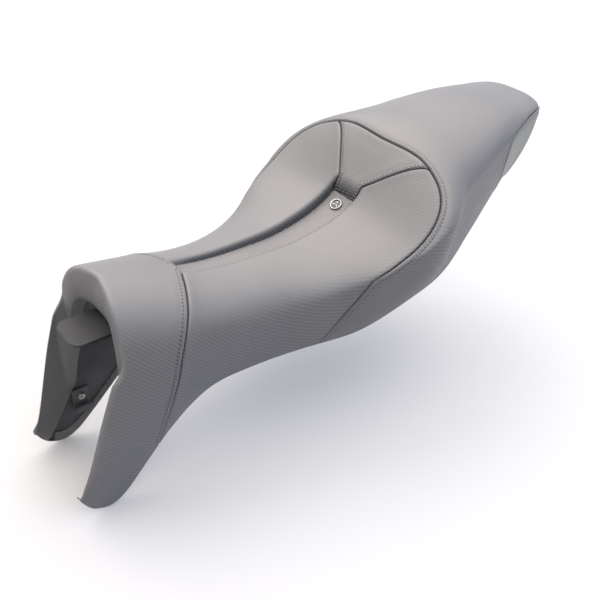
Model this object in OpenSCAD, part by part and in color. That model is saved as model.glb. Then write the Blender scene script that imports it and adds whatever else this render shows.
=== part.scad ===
// Motorcycle seat for rider and passenger: a moulded base pan, one foam block and a sewn cover.
// +X is the motorcycle's left, -Y its front, +Z up. The origin is the middle of the latch striker bar.

/* [Seat] */
// Widest width of the rider saddle
saddle_w = 316; // [300:2:330]
// Width across the two wings, at their outer faces
nose_w = 170; // [164:2:176]
// Width of the passenger seat above the latch
pillion_w = 204; // [196:2:212]
// Crown of the rider saddle at its lowest, above the striker bar
saddle_z = 45; // [40:1:50]
// Crown of the passenger seat above the striker bar
pillion_z = 170; // [164:1:176]
// Length of the rounded tail behind the straight body
tail_l = 79; // [70:1:86]

/* [Channel] */
// Width of the relief channel at the nose seam
channel_front_w = 20; // [16:1:26]
// Width of the relief channel at its rear wall
channel_rear_w = 42; // [34:1:44]
// Depth of the relief channel at the nose seam
channel_front_d = 6; // [4:0.5:8]
// Depth of the relief channel at its rear wall
channel_rear_d = 14; // [10:0.5:16]

/* [Layers] */
// Thickness of the cover with its backing
cover_t = 1.5; // [1.2:0.1:1.8]
// Wall of the moulded base pan
pan_t = 3; // [2.5:0.1:3.5]
// Clearance left between layers that don't press together
gap = 0.3; // [0.2:0.05:0.4]
// Length of cover folded up inside the pan's edge
hem_l = 14; // [10:1:18]

/* [Badge] */
// Diameter of the badge's rim
badge_d = 18; // [14:1:22]
// Thickness of the badge's rim
badge_t = 2; // [1.5:0.1:3]

/* [Latch] */
// Diameter of the striker bar
bar_d = 8; // [6:1:10]
// Inside width of the striker loop
loop_w = 24; // [20:1:30]
// Thickness of the striker plate
plate_t = 3; // [2:0.5:4]

/* [Tongue] */
// Width of the front tongue
tongue_w = 50; // [40:1:60]
// Thickness of the front tongue
tongue_t = 4; // [3:0.5:5]

/* [Bumpers] */
// Diameter of each rubber bumper
bumper_d = 24; // [20:1:28]
// Height of each rubber bumper below the pan
bumper_h = 16; // [12:1:18]

/* [Strap] */
// Width of the tool strap
strap_w = 18; // [14:1:22]
// Thickness of the tool strap
strap_t = 3; // [2:0.5:4]

/* [Hidden] */
$fn = 48;

// Outlines along the seat, as [place, value] points that a smooth curve joins.
half_w = saddle_w / 2;
crown_line = [[-550, saddle_z + 35], [-490, saddle_z + 21], [-420, saddle_z + 5], [-350, saddle_z],
    [-270, saddle_z + 4], [-200, saddle_z + 28], [-120, pillion_z - 25], [-40, pillion_z - 8],
    [40, pillion_z], [120, pillion_z - 2]];
width_line = [[-590, nose_w / 2 - 8], [-500, nose_w / 2], [-430, nose_w / 2], [-360, 92], [-290, 112],
    [-220, 143], [-150, half_w], [-80, 123], [-10, pillion_w / 2], [60, 84], [120, 67]];
waist_line = [[-590, -15], [-480, -5], [-390, -12], [-310, 3], [-230, 42], [-150, 80], [-70, 101],
    [20, 124], [120, 142]];
hem_x_line = [[-590, 68], [-480, 66], [-350, 90], [-230, 118], [-110, 122], [10, 85], [120, 45]];
hem_z_line = [[-626, -172], [-616, -191], [-600, -204], [-582, -206], [-566, -197], [-550, -181],
    [-500, -128], [-450, -87], [-390, -71], [-320, -64], [-240, -58], [-150, -34], [-60, -19],
    [30, 7], [120, 37]];
pan_line = [[-625, 48], [-560, 42], [-525, 22], [-500, 20], [-460, 20], [-435, 18], [-400, -12],
    [-380, -16], [-300, -16], [-240, -12], [-150, 10], [-60, 38], [-30, 46.3], [0, 46.3], [30, 46.3],
    [60, 56], [120, 102]];

// Seams across the seat, as [fraction from centre to hem, place] points.
front_edge = [[0, -548], [0.3, -557], [0.5, -560], [0.65, -563], [0.8, -592], [1, -625]];
nose_seam = [[0, -446], [0.35, -471], [0.6, -489], [0.8, -500], [1, -518]];
arc_seam = [[0, -125], [0.25, -124], [0.45, -149], [0.62, -222], [0.8, -267], [1, -301]];
tail_seam = [[0, 20], [0.66, 58], [0.74, 50], [0.8, 51], [0.87, 59], [0.95, 78], [1, 85]];

// The tail's rounded end, swept round this point of the centre line.
tail_y = 120;
tail_waist_z = 113;
tail_hem_z = 89;
tail_power = 3;
tail_taper = 0.28;

// Section shape: share of the side that is rolled top, and how square the roll is.
waist_v = 0.72;
roll_power = 2.2;
pan_power = 4;

channel_end_y = -184;
wall_run = 8;
bolster_x = 86;
rim_steps = [2.5, 8];
tail_v = 0.66;
tail_v_rear = 0.48;

nose_rows = 7;
rider_rows = 9;
bolster_rows = 3;
passenger_rows = 9;
flank_rows = 3;
tail_rows = 7;
top_cols = 5;
side_cols = 4;

// The hem's section as [inset from the hem line, height above it], outer face then inner face.
hem_in = cover_t + gap + pan_t + gap;
hem_outer = [[cover_t, -cover_t], [hem_in + cover_t - 0.5, -cover_t], [hem_in + cover_t, hem_l]];
hem_inner = [[cover_t + 1, -gap], [hem_in, -gap], [hem_in, hem_l]];
hem_cols = 3;

function mix(a, b, s) = a + (b - a) * s;
function flat(list) = [for (part = list) each part];

// Smooth curve through an outline's points, straight beyond its ends.
function chord(c, i) = (c[i + 1][1] - c[i][1]) / (c[i + 1][0] - c[i][0]);
function tangent(c, i) =
    let (last = len(c) - 1)
    i == 0 ? chord(c, 0) :
    i == last ? chord(c, last - 1) :
    let (before = c[i][0] - c[i - 1][0], after = c[i + 1][0] - c[i][0])
    (chord(c, i - 1) * after + chord(c, i) * before) / (before + after);
function stretch(c, x, i = 0) = i >= len(c) - 2 || x < c[i + 1][0] ? i : stretch(c, x, i + 1);
function curve(c, x) =
    let (last = len(c) - 1)
    x <= c[0][0] ? c[0][1] + chord(c, 0) * (x - c[0][0]) :
    x >= c[last][0] ? c[last][1] + chord(c, last - 1) * (x - c[last][0]) :
    let (i = stretch(c, x), h = c[i + 1][0] - c[i][0], t = (x - c[i][0]) / h)
    let (a = c[i][1], b = c[i + 1][1], ta = tangent(c, i) * h, tb = tangent(c, i + 1) * h)
    a + t * (ta + t * (3 * (b - a) - 2 * ta - tb + t * (2 * (a - b) + ta + tb)));

// Half section: a rolled top down to the waist, then a tuck in to the hem; v runs from -1 to 1.
function section(w, top, waist, hem_x, hem_z, power, v) =
    let (a = abs(v), side = v < 0 ? -1 : 1)
    a <= waist_v ?
        let (turn = 90 * a / waist_v)
        [side * w * pow(sin(turn), 2 / power), waist + (top - waist) * pow(cos(turn), 2 / power)] :
        let (t = (a - waist_v) / (1 - waist_v))
        [side * (w - (w - hem_x) * t * t), waist - (waist - hem_z) * t];

// A point of the cover's surface, inset by t, and one of the pan's, inset by d.
function skin_point(t, y, v) =
    let (s = section(curve(width_line, y) - t, curve(crown_line, y) - t, curve(waist_line, y),
        curve(hem_x_line, y) - t, curve(hem_z_line, y), roll_power, v))
    [s[0], y, s[1]];
function pan_x(y) = curve(hem_x_line, y) - cover_t - gap;
function pan_waist(low, top) = mix(low, top, 0.35);
function pan_point(d, y, v) =
    let (w = pan_x(y) - d, top = curve(pan_line, y) - d, low = curve(hem_z_line, y) + gap)
    let (s = section(w, top, pan_waist(low, top), w, low, pan_power, v))
    [s[0], y, s[1]];

// The rounded tail: the half section is carried round the tail's centre by the angle phi.
function round_tail(w, l, s, phi) =
    let (back = l * pow(sin(phi), 2 / tail_power) * abs(s[0]))
    [(w - tail_taper * back) * pow(max(cos(phi), 0), 2 / tail_power) * s[0], tail_y + back, s[1]];
function tail_ratio(phi) =
    mix(curve(hem_x_line, tail_y) / curve(width_line, tail_y), 1, pow(sin(phi), 2));
function skin_tail(t, phi, v) =
    let (k = pow(sin(phi), 2))
    let (s = section(1, curve(crown_line, tail_y) - t, mix(curve(waist_line, tail_y), tail_waist_z, k),
        tail_ratio(phi), mix(curve(hem_z_line, tail_y), tail_hem_z, k), roll_power, v))
    round_tail(curve(width_line, tail_y) - t, tail_l - t, s, phi);
function pan_tail(d, phi, v) =
    let (low = mix(curve(hem_z_line, tail_y), tail_hem_z, pow(sin(phi), 2)) + gap)
    let (top = curve(pan_line, tail_y) - d, r = tail_ratio(phi), in = cover_t + gap + d)
    let (s = section(r, top, pan_waist(low, top), r, low, pan_power, v))
    round_tail(curve(width_line, tail_y) - in, tail_l - in, s, phi);

// Rows across the seat, each [zone, place in it]: front fold, nose, rider, passenger, flank, tail.
FOLD = 0;
NOSE = 1;
RIDER = 2;
PASSENGER = 3;
FLANK = 4;
TAIL = 5;
ride_l = curve(arc_seam, 0) - curve(nose_seam, 0);
q_end = (channel_end_y - curve(nose_seam, 0)) / ride_l;
q_top = q_end + wall_run / ride_l;
nose_last = 0.97;
rows = concat([[FOLD, hem_l], [FOLD, 0]],
    [for (i = [0 : nose_rows]) [NOSE, nose_last * i / nose_rows]],
    [for (i = [0 : rider_rows]) [RIDER, q_end * i / rider_rows]],
    [for (i = [0 : bolster_rows - 1]) [RIDER, mix(q_top, 1, i / bolster_rows)]],
    [for (i = [0 : passenger_rows - 1]) [PASSENGER, i / passenger_rows]],
    [for (i = [0 : flank_rows]) [FLANK, i / flank_rows]],
    [for (i = [1 : tail_rows]) [TAIL, 90 * i / tail_rows]]);
fold_rows = 2;
seam_row = fold_rows + nose_rows + 1;
wall_row = seam_row + rider_rows;
arc_row = wall_row + 1 + bolster_rows;
flank_row = arc_row + passenger_rows;
tail_row = flank_row + flank_rows;
last_row = len(rows) - 1;

// Columns on each side: 0 is the centre line, 2 the channel's edge, flank_col the flank seam.
edge_col = 2;
rim_col = edge_col + len(rim_steps);
flank_col = rim_col + top_cols;
hem_col = flank_col + side_cols;
last_col = hem_col + hem_cols;
row_len = 2 * last_col + 1;

function v_at(y, x) = waist_v * asin(pow(x / curve(width_line, y), roll_power / 2)) / 90;
function edge_x(q) =
    q <= q_end ? mix(channel_front_w, channel_rear_w, q / q_end) / 2 :
    mix(channel_rear_w / 2 + 1, bolster_x, (q - q_top) / (1 - q_top));
function row_edge(row, out) =
    row[0] <= NOSE ? v_at(curve(nose_seam, 0), edge_x(0) + out) :
    row[0] == RIDER ? v_at(mix(curve(nose_seam, 0), curve(arc_seam, 0), row[1]), edge_x(row[1]) + out) :
    v_at(curve(arc_seam, 0), bolster_x + out);
function flank_v(row) =
    row[0] < FLANK ? tail_v :
    row[0] == FLANK ? tail_v - 0.06 * row[1] :
    mix(tail_v - 0.06, tail_v_rear, row[1] / 90);
function column_v(row, k, t) =
    k == 0 ? 0 :
    k <= edge_col ? row_edge(row, t) * k / edge_col :
    k <= rim_col ? row_edge(row, t + rim_steps[k - edge_col - 1]) :
    k <= flank_col ?
        mix(row_edge(row, t + rim_steps[1]), flank_v(row), (k - rim_col) / top_cols) :
    mix(flank_v(row), 1, (k - flank_col) / side_cols);
function row_y(row, v, t) =
    let (a = abs(v), s = row[1])
    row[0] == FOLD ? curve(front_edge, a) + max(s, t) :
    row[0] == NOSE ? mix(curve(front_edge, a) + t, curve(nose_seam, a), s) :
    row[0] == RIDER ? mix(curve(nose_seam, a), curve(arc_seam, a), s) :
    row[0] == PASSENGER ? mix(curve(arc_seam, a), curve(tail_seam, a), s) :
    mix(curve(tail_seam, a), tail_y, s);
function channel_depth(q) = q > q_end ? 0 : mix(channel_front_d, channel_rear_d, q / q_end);
function drop(row, k) =
    row[0] != RIDER || k > edge_col + 1 ? 0 :
    channel_depth(row[1]) * (k > edge_col ? 0.3 : 1);

// Points of the cover: t is 0 on its outer face and cover_t on its inner face.
function hem_point(t, row, k) =
    let (side = sign(k), step = (t == 0 ? hem_outer : hem_inner)[abs(k) - hem_col - 1])
    let (p = cover_point(0, row, side * hem_col))
    row[0] == TAIL ?
        let (r = norm([p[0], p[1] - tail_y]), s = (r - step[0]) / r)
        [p[0] * s, tail_y + (p[1] - tail_y) * s, p[2] + step[1]] :
    [p[0] - side * step[0], p[1], p[2] + step[1]];
function cover_point(t, row, k) =
    abs(k) > hem_col ? hem_point(t, row, k) :
    let (v = (k < 0 ? -1 : 1) * column_v(row, abs(k), t))
    row[0] == TAIL ? skin_tail(t, row[1], v) :
    row[0] == FOLD ? pan_point(pan_t + gap + cover_t - t, row_y(row, v, t), v) :
    skin_point(t, row_y(row, v, t), v) - [0, 0, drop(row, abs(k))];
function base_point(d, row, k) =
    let (v = (k < 0 ? -1 : 1) * column_v(row, min(abs(k), hem_col), 0))
    row[0] == TAIL ? pan_tail(d, row[1], v) :
    pan_point(d, row_y(row, v, cover_t + gap), v);

function cover_face(t) =
    flat([for (row = rows) [for (k = [-last_col : last_col]) cover_point(t, row, k)]]);
function base_face(d) =
    flat([for (row = rows) [for (k = [-last_col : last_col]) base_point(d, row, k)]]);

// Which piece holds the cell between rows i, i + 1 and columns k, k + 1.
function cover_of(i, k) =
    let (c = k < 0 ? -k - 1 : k)
    i < fold_rows && c >= hem_col ? "none" :
    i < seam_row ? "cover_nose" :
    i < arc_row && c >= edge_col ? (k < 0 ? "cover_rider_right" : "cover_rider_left") :
    i < wall_row ? "cover_channel" :
    i < arc_row ? "cover_bolster" :
    i >= flank_row && c >= flank_col ? "cover_tail" : "cover_passenger";
function holds(name, i, k) =
    i < 0 || i >= last_row || k < -last_col || k >= last_col ? false :
    name == "block" ? i >= fold_rows && k >= -hem_col && k < hem_col :
    cover_of(i, k) == name;

// A point's number: the rounded tail's rows share their centre point, and its halves their last row.
function number(i, k, base) =
    let (row = k == 0 && i > tail_row ? tail_row : i, col = i == last_row ? abs(k) : k)
    base + row * row_len + col + last_col;
function triangles(a, b, c, d) =
    [for (f = [[a, b, c], [a, c, d]]) if (f[0] != f[1] && f[1] != f[2] && f[2] != f[0]) f];
function cell(i, k, base) =
    let (a = number(i, k, base), b = number(i + 1, k, base))
    let (c = number(i + 1, k + 1, base), d = number(i, k + 1, base))
    k < 0 ? triangles(b, c, d, a) : triangles(a, b, c, d);
// A wall between the two faces; both pieces at a seam split it along the same diagonal.
function wall(i, k, j, m, base) =
    let (a = number(i, k, 0), b = number(j, m, 0))
    a < b ? triangles(a, b, b + base, a + base) : triangles(b, b + base, a + base, a);

// A closed solid between two faces of the grid, over the cells that the named piece holds.
module layer(name, top, low) {
    n = len(top);
    faces = flat([for (i = [0 : last_row - 1]) for (k = [-last_col : last_col - 1])
        if (holds(name, i, k)) flat([
            cell(i, k, 0),
            [for (f = cell(i, k, n)) [f[2], f[1], f[0]]],
            holds(name, i - 1, k) ? [] : wall(i, k, i, k + 1, n),
            holds(name, i, k + 1) ? [] : wall(i, k + 1, i + 1, k + 1, n),
            holds(name, i + 1, k) || i + 1 == last_row ? [] : wall(i + 1, k + 1, i + 1, k, n),
            holds(name, i, k - 1) ? [] : wall(i + 1, k, i, k, n)])]);
    polyhedron(points = concat(top, low), faces = faces);
}

// Underside of the pan, for what hangs from it.
function pan_under(x, y) =
    let (w = pan_x(y) - pan_t, top = curve(pan_line, y) - pan_t)
    let (waist = pan_waist(curve(hem_z_line, y) + gap, top))
    waist + (top - waist) * pow(1 - pow(abs(x) / w, pan_power), 1 / pan_power);
function channel_floor(y) = curve(crown_line, y) - channel_depth((y - curve(nose_seam, 0)) / ride_l);

vinyl = [0.35, 0.34, 0.34];
module cover(name) {
    color(vinyl) layer(name, cover_face(0), cover_face(cover_t));
}
module base_pan() {
    color([0.12, 0.12, 0.13]) layer("block", base_face(0), base_face(pan_t));
}
module foam_core() {
    color([0.85, 0.8, 0.62]) layer("block", cover_face(cover_t), base_face(0));
}
module cover_nose() {
    cover("cover_nose");
}
module cover_rider_left() {
    cover("cover_rider_left");
}
module cover_rider_right() {
    cover("cover_rider_right");
}
module cover_channel() {
    cover("cover_channel");
}
module cover_bolster() {
    cover("cover_bolster");
}
module cover_passenger() {
    cover("cover_passenger");
}
module cover_tail() {
    cover("cover_tail");
}

badge_y = -196;
badge_lip = 2.5;
badge_floor = 0.8;
badge_lift = 1.3;
module on_badge_place() {
    rise = channel_floor(badge_y + badge_d / 2) - channel_floor(badge_y - badge_d / 2);
    translate([0, badge_y, channel_floor(badge_y) + badge_lift])
        rotate([atan(rise / badge_d), 0, 0])
            children();
}
module badge_rim() {
    color([0.8, 0.8, 0.82]) on_badge_place() difference() {
        cylinder(d = badge_d, h = badge_t);
        translate([0, 0, badge_floor]) cylinder(d = badge_d - 2 * badge_lip, h = badge_t);
    }
}
module badge_face() {
    color([0.2, 0.2, 0.22]) on_badge_place()
        translate([0, 0, badge_floor])
            cylinder(d = badge_d - 2 * badge_lip - 0.2, h = badge_t - badge_floor - 0.4);
}

// Staples that hold the hem to the inside of the pan's edge, one every staple_pitch.
staple_l = 10;
staple_wire = 0.9;
staple_pitch = 30;
staple_lift = 8;
function hem_inside(y) =
    [curve(hem_x_line, y) - hem_in - cover_t - staple_wire, y, curve(hem_z_line, y) + staple_lift];
module staple(p, q) {
    d = q - p;
    translate(p) rotate([0, -asin(d[2] / norm(d)), atan2(d[1], d[0])])
        translate([0, -staple_wire / 2, 0]) cube([staple_l, staple_wire, staple_wire]);
}
module staples() {
    color([0.7, 0.7, 0.72]) for (side = [0, 1]) mirror([side, 0, 0])
        for (y = [-480 : staple_pitch : 100])
            staple(hem_inside(y), hem_inside(y + staple_l));
}

// Front tongue: a flat plate under the nose that slides below the tank's rear bracket.
tongue_tip = -592;
tongue_end = -462;
tongue_r = 12;
tongue_top = 16.2;
screw_d = 6;
screw_y = [-505, -478];
screw_grip = 2.5;
head_d = 12;
head_h = 3.5;
module screw(d, length, head) {
    translate([0, 0, -head_h]) difference() {
        cylinder(d = head, h = head_h);
        translate([0, 0, -1]) cylinder(d = d * 0.7, h = 3, $fn = 6);
    }
    cylinder(d = d, h = length);
}
module front_tongue() {
    color([0.25, 0.25, 0.27]) translate([0, 0, tongue_top - tongue_t]) difference() {
        union() {
            translate([-tongue_w / 2, tongue_tip + tongue_r, 0])
                cube([tongue_w, tongue_end - tongue_tip - tongue_r, tongue_t]);
            translate([-tongue_w / 2 + tongue_r, tongue_tip, 0])
                cube([tongue_w - 2 * tongue_r, tongue_r + 1, tongue_t]);
            for (x = [-1, 1]) translate([x * (tongue_w / 2 - tongue_r), tongue_tip + tongue_r, 0])
                cylinder(r = tongue_r, h = tongue_t);
        }
        for (y = screw_y) translate([0, y, -1]) cylinder(d = screw_d + 0.4, h = tongue_t + 2);
    }
}
module tongue_screws() {
    color([0.6, 0.6, 0.62]) for (y = screw_y)
        translate([0, y, tongue_top - tongue_t]) screw(screw_d, tongue_t + screw_grip, head_d);
}

// Rear latch: a bent bar that the lock's jaw closes on, standing on a plate under the pan.
plate_w = 72;
plate_l = 34;
plate_top = 42.3;
bolt_x = 28;
bolt_grip = 3;
bend_r = 8;
leg_x = loop_w / 2 + bar_d / 2;
module striker_plate() {
    color([0.55, 0.56, 0.58]) translate([0, 0, plate_top - plate_t]) difference() {
        translate([-plate_w / 2, -plate_l / 2, 0]) cube([plate_w, plate_l, plate_t]);
        for (x = [-bolt_x, bolt_x]) translate([x, 0, -1]) cylinder(d = screw_d + 0.6, h = plate_t + 2);
    }
}
module striker_loop() {
    leg = plate_top - plate_t - bend_r;
    color([0.72, 0.73, 0.75]) {
        translate([-leg_x + bend_r, 0, 0]) rotate([0, 90, 0])
            cylinder(d = bar_d, h = 2 * (leg_x - bend_r));
        for (side = [0, 1]) mirror([side, 0, 0]) {
            translate([leg_x - bend_r, 0, bend_r]) rotate([90, 0, 0]) rotate([0, 0, -90])
                rotate_extrude(angle = 90) translate([bend_r, 0]) circle(d = bar_d);
            translate([leg_x, 0, bend_r]) cylinder(d = bar_d, h = leg);
        }
    }
}
module striker_bolts() {
    color([0.6, 0.6, 0.62]) for (x = [-bolt_x, bolt_x])
        translate([x, 0, plate_top - plate_t]) screw(screw_d, plate_t + bolt_grip, head_d);
}

// Wing hooks: a flat foot screwed inside each wing, with an arm and a lip that catch the frame.
hook_y = -560;
hook_z = -147;
hook_w = 22;
hook_h = 34;
hook_t = 3;
hook_reach = 10;
hook_lip = 9;
hook_screw_d = 5;
hook_head_d = 9;
hook_screw_z = hook_h / 5;
hook_x = pan_x(hook_y) - pan_t - 0.7;
module on_wing(side) {
    mirror([side, 0, 0]) translate([hook_x, hook_y, hook_z]) children();
}
module wing_hook(side) {
    color([0.15, 0.15, 0.16]) on_wing(side) difference() {
        union() {
            translate([-hook_t, -hook_w / 2, -hook_h / 2]) cube([hook_t, hook_w, hook_h]);
            translate([-hook_reach, -hook_w / 2, -hook_h / 2]) cube([hook_reach, hook_w, hook_t]);
            translate([-hook_reach, -hook_w / 2, -hook_h / 2]) cube([hook_t, hook_w, hook_lip]);
        }
        translate([-hook_t - 1, 0, hook_screw_z]) rotate([0, 90, 0])
            cylinder(d = hook_screw_d + 0.4, h = hook_t + 2);
    }
}
module wing_hook_left() {
    wing_hook(0);
}
module wing_hook_right() {
    wing_hook(1);
}
module wing_hook_screws() {
    color([0.6, 0.6, 0.62]) for (side = [0, 1]) on_wing(side)
        translate([-hook_t, 0, hook_screw_z]) rotate([0, 90, 0])
            screw(hook_screw_d, hook_t + screw_grip, hook_head_d);
}

// Tool strap: a rubber band that turns on a bracket's pin and buttons onto a peg.
strap_y = -300;
pin_x = 60;
pin_d = 6;
pin_drop = 16;
eye_d = 13;
running = 0.1;
foot_h = 3;
foot_l = 34;
foot_w = 18;
ear_t = 3;
ear_d = 10;
ear_y = strap_w / 2 + 0.5;
post_d = 14;
button_d = 7;
button_h = 10;
button_hole = 10;
strap_z = pan_under(pin_x, strap_y) - pin_drop;
foot_top = pan_under(pin_x + foot_l / 4, strap_y) - 0.2;
module strap_foot() {
    translate([-foot_w / 2, -foot_l / 2, foot_top - foot_h]) cube([foot_w, foot_l, foot_h]);
}
module strap_peg() {
    color([0.15, 0.15, 0.16]) translate([pin_x, strap_y, 0]) {
        strap_foot();
        for (y = [-ear_y - ear_t, ear_y]) {
            translate([-ear_d / 2, y, strap_z]) cube([ear_d, ear_t, foot_top - strap_z - 1]);
            translate([0, y, strap_z]) rotate([-90, 0, 0]) cylinder(d = ear_d, h = ear_t);
        }
        translate([0, -ear_y - 1, strap_z]) rotate([-90, 0, 0]) cylinder(d = pin_d, h = 2 * ear_y + 2);
    }
}
module strap_hook() {
    color([0.15, 0.15, 0.16]) translate([-pin_x, strap_y, 0]) {
        strap_foot();
        translate([0, 0, strap_z + strap_t]) cylinder(d = post_d, h = foot_top - strap_z - strap_t - 1);
        translate([0, 0, strap_z - button_h / 2]) cylinder(d = button_d, h = button_h);
    }
}
module tool_strap() {
    end_r = strap_w / 2;
    color([0.1, 0.1, 0.1]) difference() {
        union() {
            translate([-pin_x, strap_y - end_r, strap_z - strap_t / 2])
                cube([2 * pin_x, strap_w, strap_t]);
            translate([-pin_x, strap_y, strap_z - strap_t / 2]) cylinder(r = end_r, h = strap_t);
            translate([pin_x, strap_y - end_r, strap_z]) rotate([-90, 0, 0])
                cylinder(d = eye_d, h = strap_w);
        }
        translate([pin_x, strap_y - strap_w, strap_z]) rotate([-90, 0, 0])
            cylinder(r = pin_d / 2 + running, h = 2 * strap_w);
        translate([-pin_x, strap_y, strap_z - strap_t]) cylinder(d = button_hole, h = 2 * strap_t);
    }
}

// Rubber bumpers: a foot with a stem that presses into the pan, at [x, y] left of the centre line.
bumper_places = [[30, -425], [72, -258], [64, -95], [44, 40]];
stem_d = 9;
stem_l = 6;
function bumper_top(p) = min([for (s = [-1, 1])
    pan_under(p[0] + bumper_d / 2, p[1] + s * bumper_d / 2)]) - 0.3;
module bumper(i, side) {
    p = bumper_places[i];
    color([0.08, 0.08, 0.08]) mirror([side, 0, 0]) translate([p[0], p[1], bumper_top(p)]) {
        translate([0, 0, -bumper_h]) cylinder(d = bumper_d, h = bumper_h);
        cylinder(d = stem_d, h = stem_l);
    }
}

base_pan();
foam_core();
cover_nose();
cover_rider_left();
cover_rider_right();
cover_channel();
cover_bolster();
cover_passenger();
cover_tail();
badge_rim();
badge_face();
staples();
front_tongue();
tongue_screws();
striker_plate();
striker_loop();
striker_bolts();
wing_hook_left();
wing_hook_right();
wing_hook_screws();
strap_peg();
strap_hook();
tool_strap();
bumper(0, 0);  // bumper_front_left
bumper(0, 1);  // bumper_front_right
bumper(1, 0);  // bumper_middle_left
bumper(1, 1);  // bumper_middle_right
bumper(2, 0);  // bumper_rear_left
bumper(2, 1);  // bumper_rear_right
bumper(3, 0);  // bumper_tail_left
bumper(3, 1);  // bumper_tail_right
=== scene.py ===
import math

import bpy
import numpy as np
from mathutils import Matrix, Vector
from mathutils.bvhtree import BVHTree
from mathutils.kdtree import KDTree


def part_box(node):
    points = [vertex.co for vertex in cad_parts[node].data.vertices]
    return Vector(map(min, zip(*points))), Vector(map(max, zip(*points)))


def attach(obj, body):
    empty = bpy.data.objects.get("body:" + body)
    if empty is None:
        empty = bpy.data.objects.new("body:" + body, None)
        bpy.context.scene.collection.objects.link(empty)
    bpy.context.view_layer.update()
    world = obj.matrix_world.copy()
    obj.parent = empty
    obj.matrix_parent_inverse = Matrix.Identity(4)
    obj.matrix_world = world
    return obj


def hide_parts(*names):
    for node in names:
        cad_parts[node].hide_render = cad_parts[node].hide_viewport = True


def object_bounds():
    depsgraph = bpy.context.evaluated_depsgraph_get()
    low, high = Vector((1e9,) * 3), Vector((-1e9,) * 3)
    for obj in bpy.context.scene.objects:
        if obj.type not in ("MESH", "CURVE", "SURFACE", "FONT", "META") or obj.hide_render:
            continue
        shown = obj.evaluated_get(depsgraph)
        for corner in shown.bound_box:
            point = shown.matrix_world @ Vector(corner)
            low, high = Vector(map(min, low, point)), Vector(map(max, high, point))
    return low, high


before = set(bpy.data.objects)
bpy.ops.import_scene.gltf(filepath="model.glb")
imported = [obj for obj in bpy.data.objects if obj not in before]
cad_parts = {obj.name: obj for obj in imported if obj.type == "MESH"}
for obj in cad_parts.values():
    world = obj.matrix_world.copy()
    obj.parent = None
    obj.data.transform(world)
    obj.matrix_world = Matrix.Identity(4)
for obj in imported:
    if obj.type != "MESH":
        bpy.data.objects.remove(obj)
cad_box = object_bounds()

# A motorcycle seat: sewn cover over a foam block on a moulded pan. Sizes are in millimetres here
# and go into the meshes as metres. +X is the motorcycle's left, -Y its front and +Z up.
MM = 0.001

# ---------------------------------------------------------------- outlines, as in the CAD source
CROWN = [[-550, 80], [-490, 66], [-420, 50], [-350, 45], [-270, 49], [-200, 73], [-120, 145],
         [-40, 162], [40, 170], [120, 168]]
WIDTH = [[-590, 77], [-500, 85], [-430, 85], [-360, 92], [-290, 112], [-220, 143], [-150, 158],
         [-80, 123], [-10, 102], [60, 84], [120, 67]]
WAIST = [[-590, -15], [-480, -5], [-390, -12], [-310, 3], [-230, 42], [-150, 80], [-70, 101],
         [20, 124], [120, 142]]
HEM_X = [[-590, 68], [-480, 66], [-350, 90], [-230, 118], [-110, 122], [10, 85], [120, 45]]
HEM_Z = [[-626, -172], [-616, -191], [-600, -204], [-582, -206], [-566, -197], [-550, -181],
         [-500, -128], [-450, -87], [-390, -71], [-320, -64], [-240, -58], [-150, -34],
         [-60, -19], [30, 7], [120, 37]]
PAN_Z = [[-625, 48], [-560, 42], [-525, 22], [-500, 20], [-460, 20], [-435, 18], [-400, -12],
         [-380, -16], [-300, -16], [-240, -12], [-150, 10], [-60, 38], [-30, 46.3], [0, 46.3],
         [30, 46.3], [60, 56], [120, 102]]
FRONT_EDGE = [[0, -548], [0.3, -557], [0.5, -560], [0.65, -563], [0.8, -592], [1, -625]]
NOSE_SEAM = [[0, -446], [0.35, -471], [0.6, -489], [0.8, -500], [1, -518]]
ARC_SEAM = [[0, -125], [0.25, -124], [0.45, -149], [0.62, -222], [0.8, -267], [1, -301]]
TAIL_SEAM = [[0, 20], [0.66, 58], [0.74, 50], [0.8, 51], [0.87, 59], [0.95, 78], [1, 85]]
TAIL_Y, TAIL_L, TAIL_WAIST_Z, TAIL_HEM_Z, TAIL_POWER, TAIL_TAPER = 120, 79, 113, 89, 3, 0.28
WAIST_V, ROLL_POWER, PAN_POWER, PAN_WAIST = 0.72, 2.2, 4, 0.35
CHANNEL_HALF, CHANNEL_DEPTH, CHANNEL_END_Y, WALL_RUN, BOLSTER_X = (10, 21), (6, 14), -184, 8, 86
TAIL_V, TAIL_V_FRONT, TAIL_V_REAR = 0.66, 0.60, 0.48
COVER_T, PAN_T, GAP, HEM_L = 1.5, 3.0, 0.3, 14
HEM_IN = COVER_T + GAP + PAN_T + GAP + COVER_T

# ---------------------------------------------------------------- sewing and vinyl
RIM_RUN, REAR_RUN, NOSE_RUN = 9, 12, 7      # how far the channel's rims roll back
ROLL_STEPS, HEM_ROWS = 7, 4
FRONT_ROLL = 6.5                            # radius of the rolled front edge
GROOVE, GROOVE_W = 2.1, 0.95                # a seam's groove
FOLD_UP = 0.8                               # the sewn-down fold beside a seam
STITCH_PITCH, STITCH_LONG, THREAD_R = 4.6, 3.3, 0.55
THREAD_STEP = 0.5                           # how finely a row of stitches is followed
WEAVE_CELL = 1.58                           # one tow of the embossed twill
FINE, COARSE, GROWTH = 0.6, 5.0, 0.26       # mesh steps beside and away from a seam
FRONT_LEAN = 0.8                            # how far the hem leans back at the wings' corners
BULGE_MAX = 3.0                             # the most that the cloth run may move the skin
FAR = 99.0                                  # beyond the reach of any stitch or seam

NOSE, RIDER, PASSENGER, FLANK, TAIL = range(5)
# Lengths of the zones, the channel's wall aside, and half widths of the columns, for the mesh steps
ZONE_RUNS = {"nose": 100, "channel": 262, "wedge": 59, "passenger": 250, "flank": 80, "tail": 130}
COLUMN_RUNS = (45, 150, 125)


def mix(a, b, s):
    return a + (b - a) * s


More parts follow.
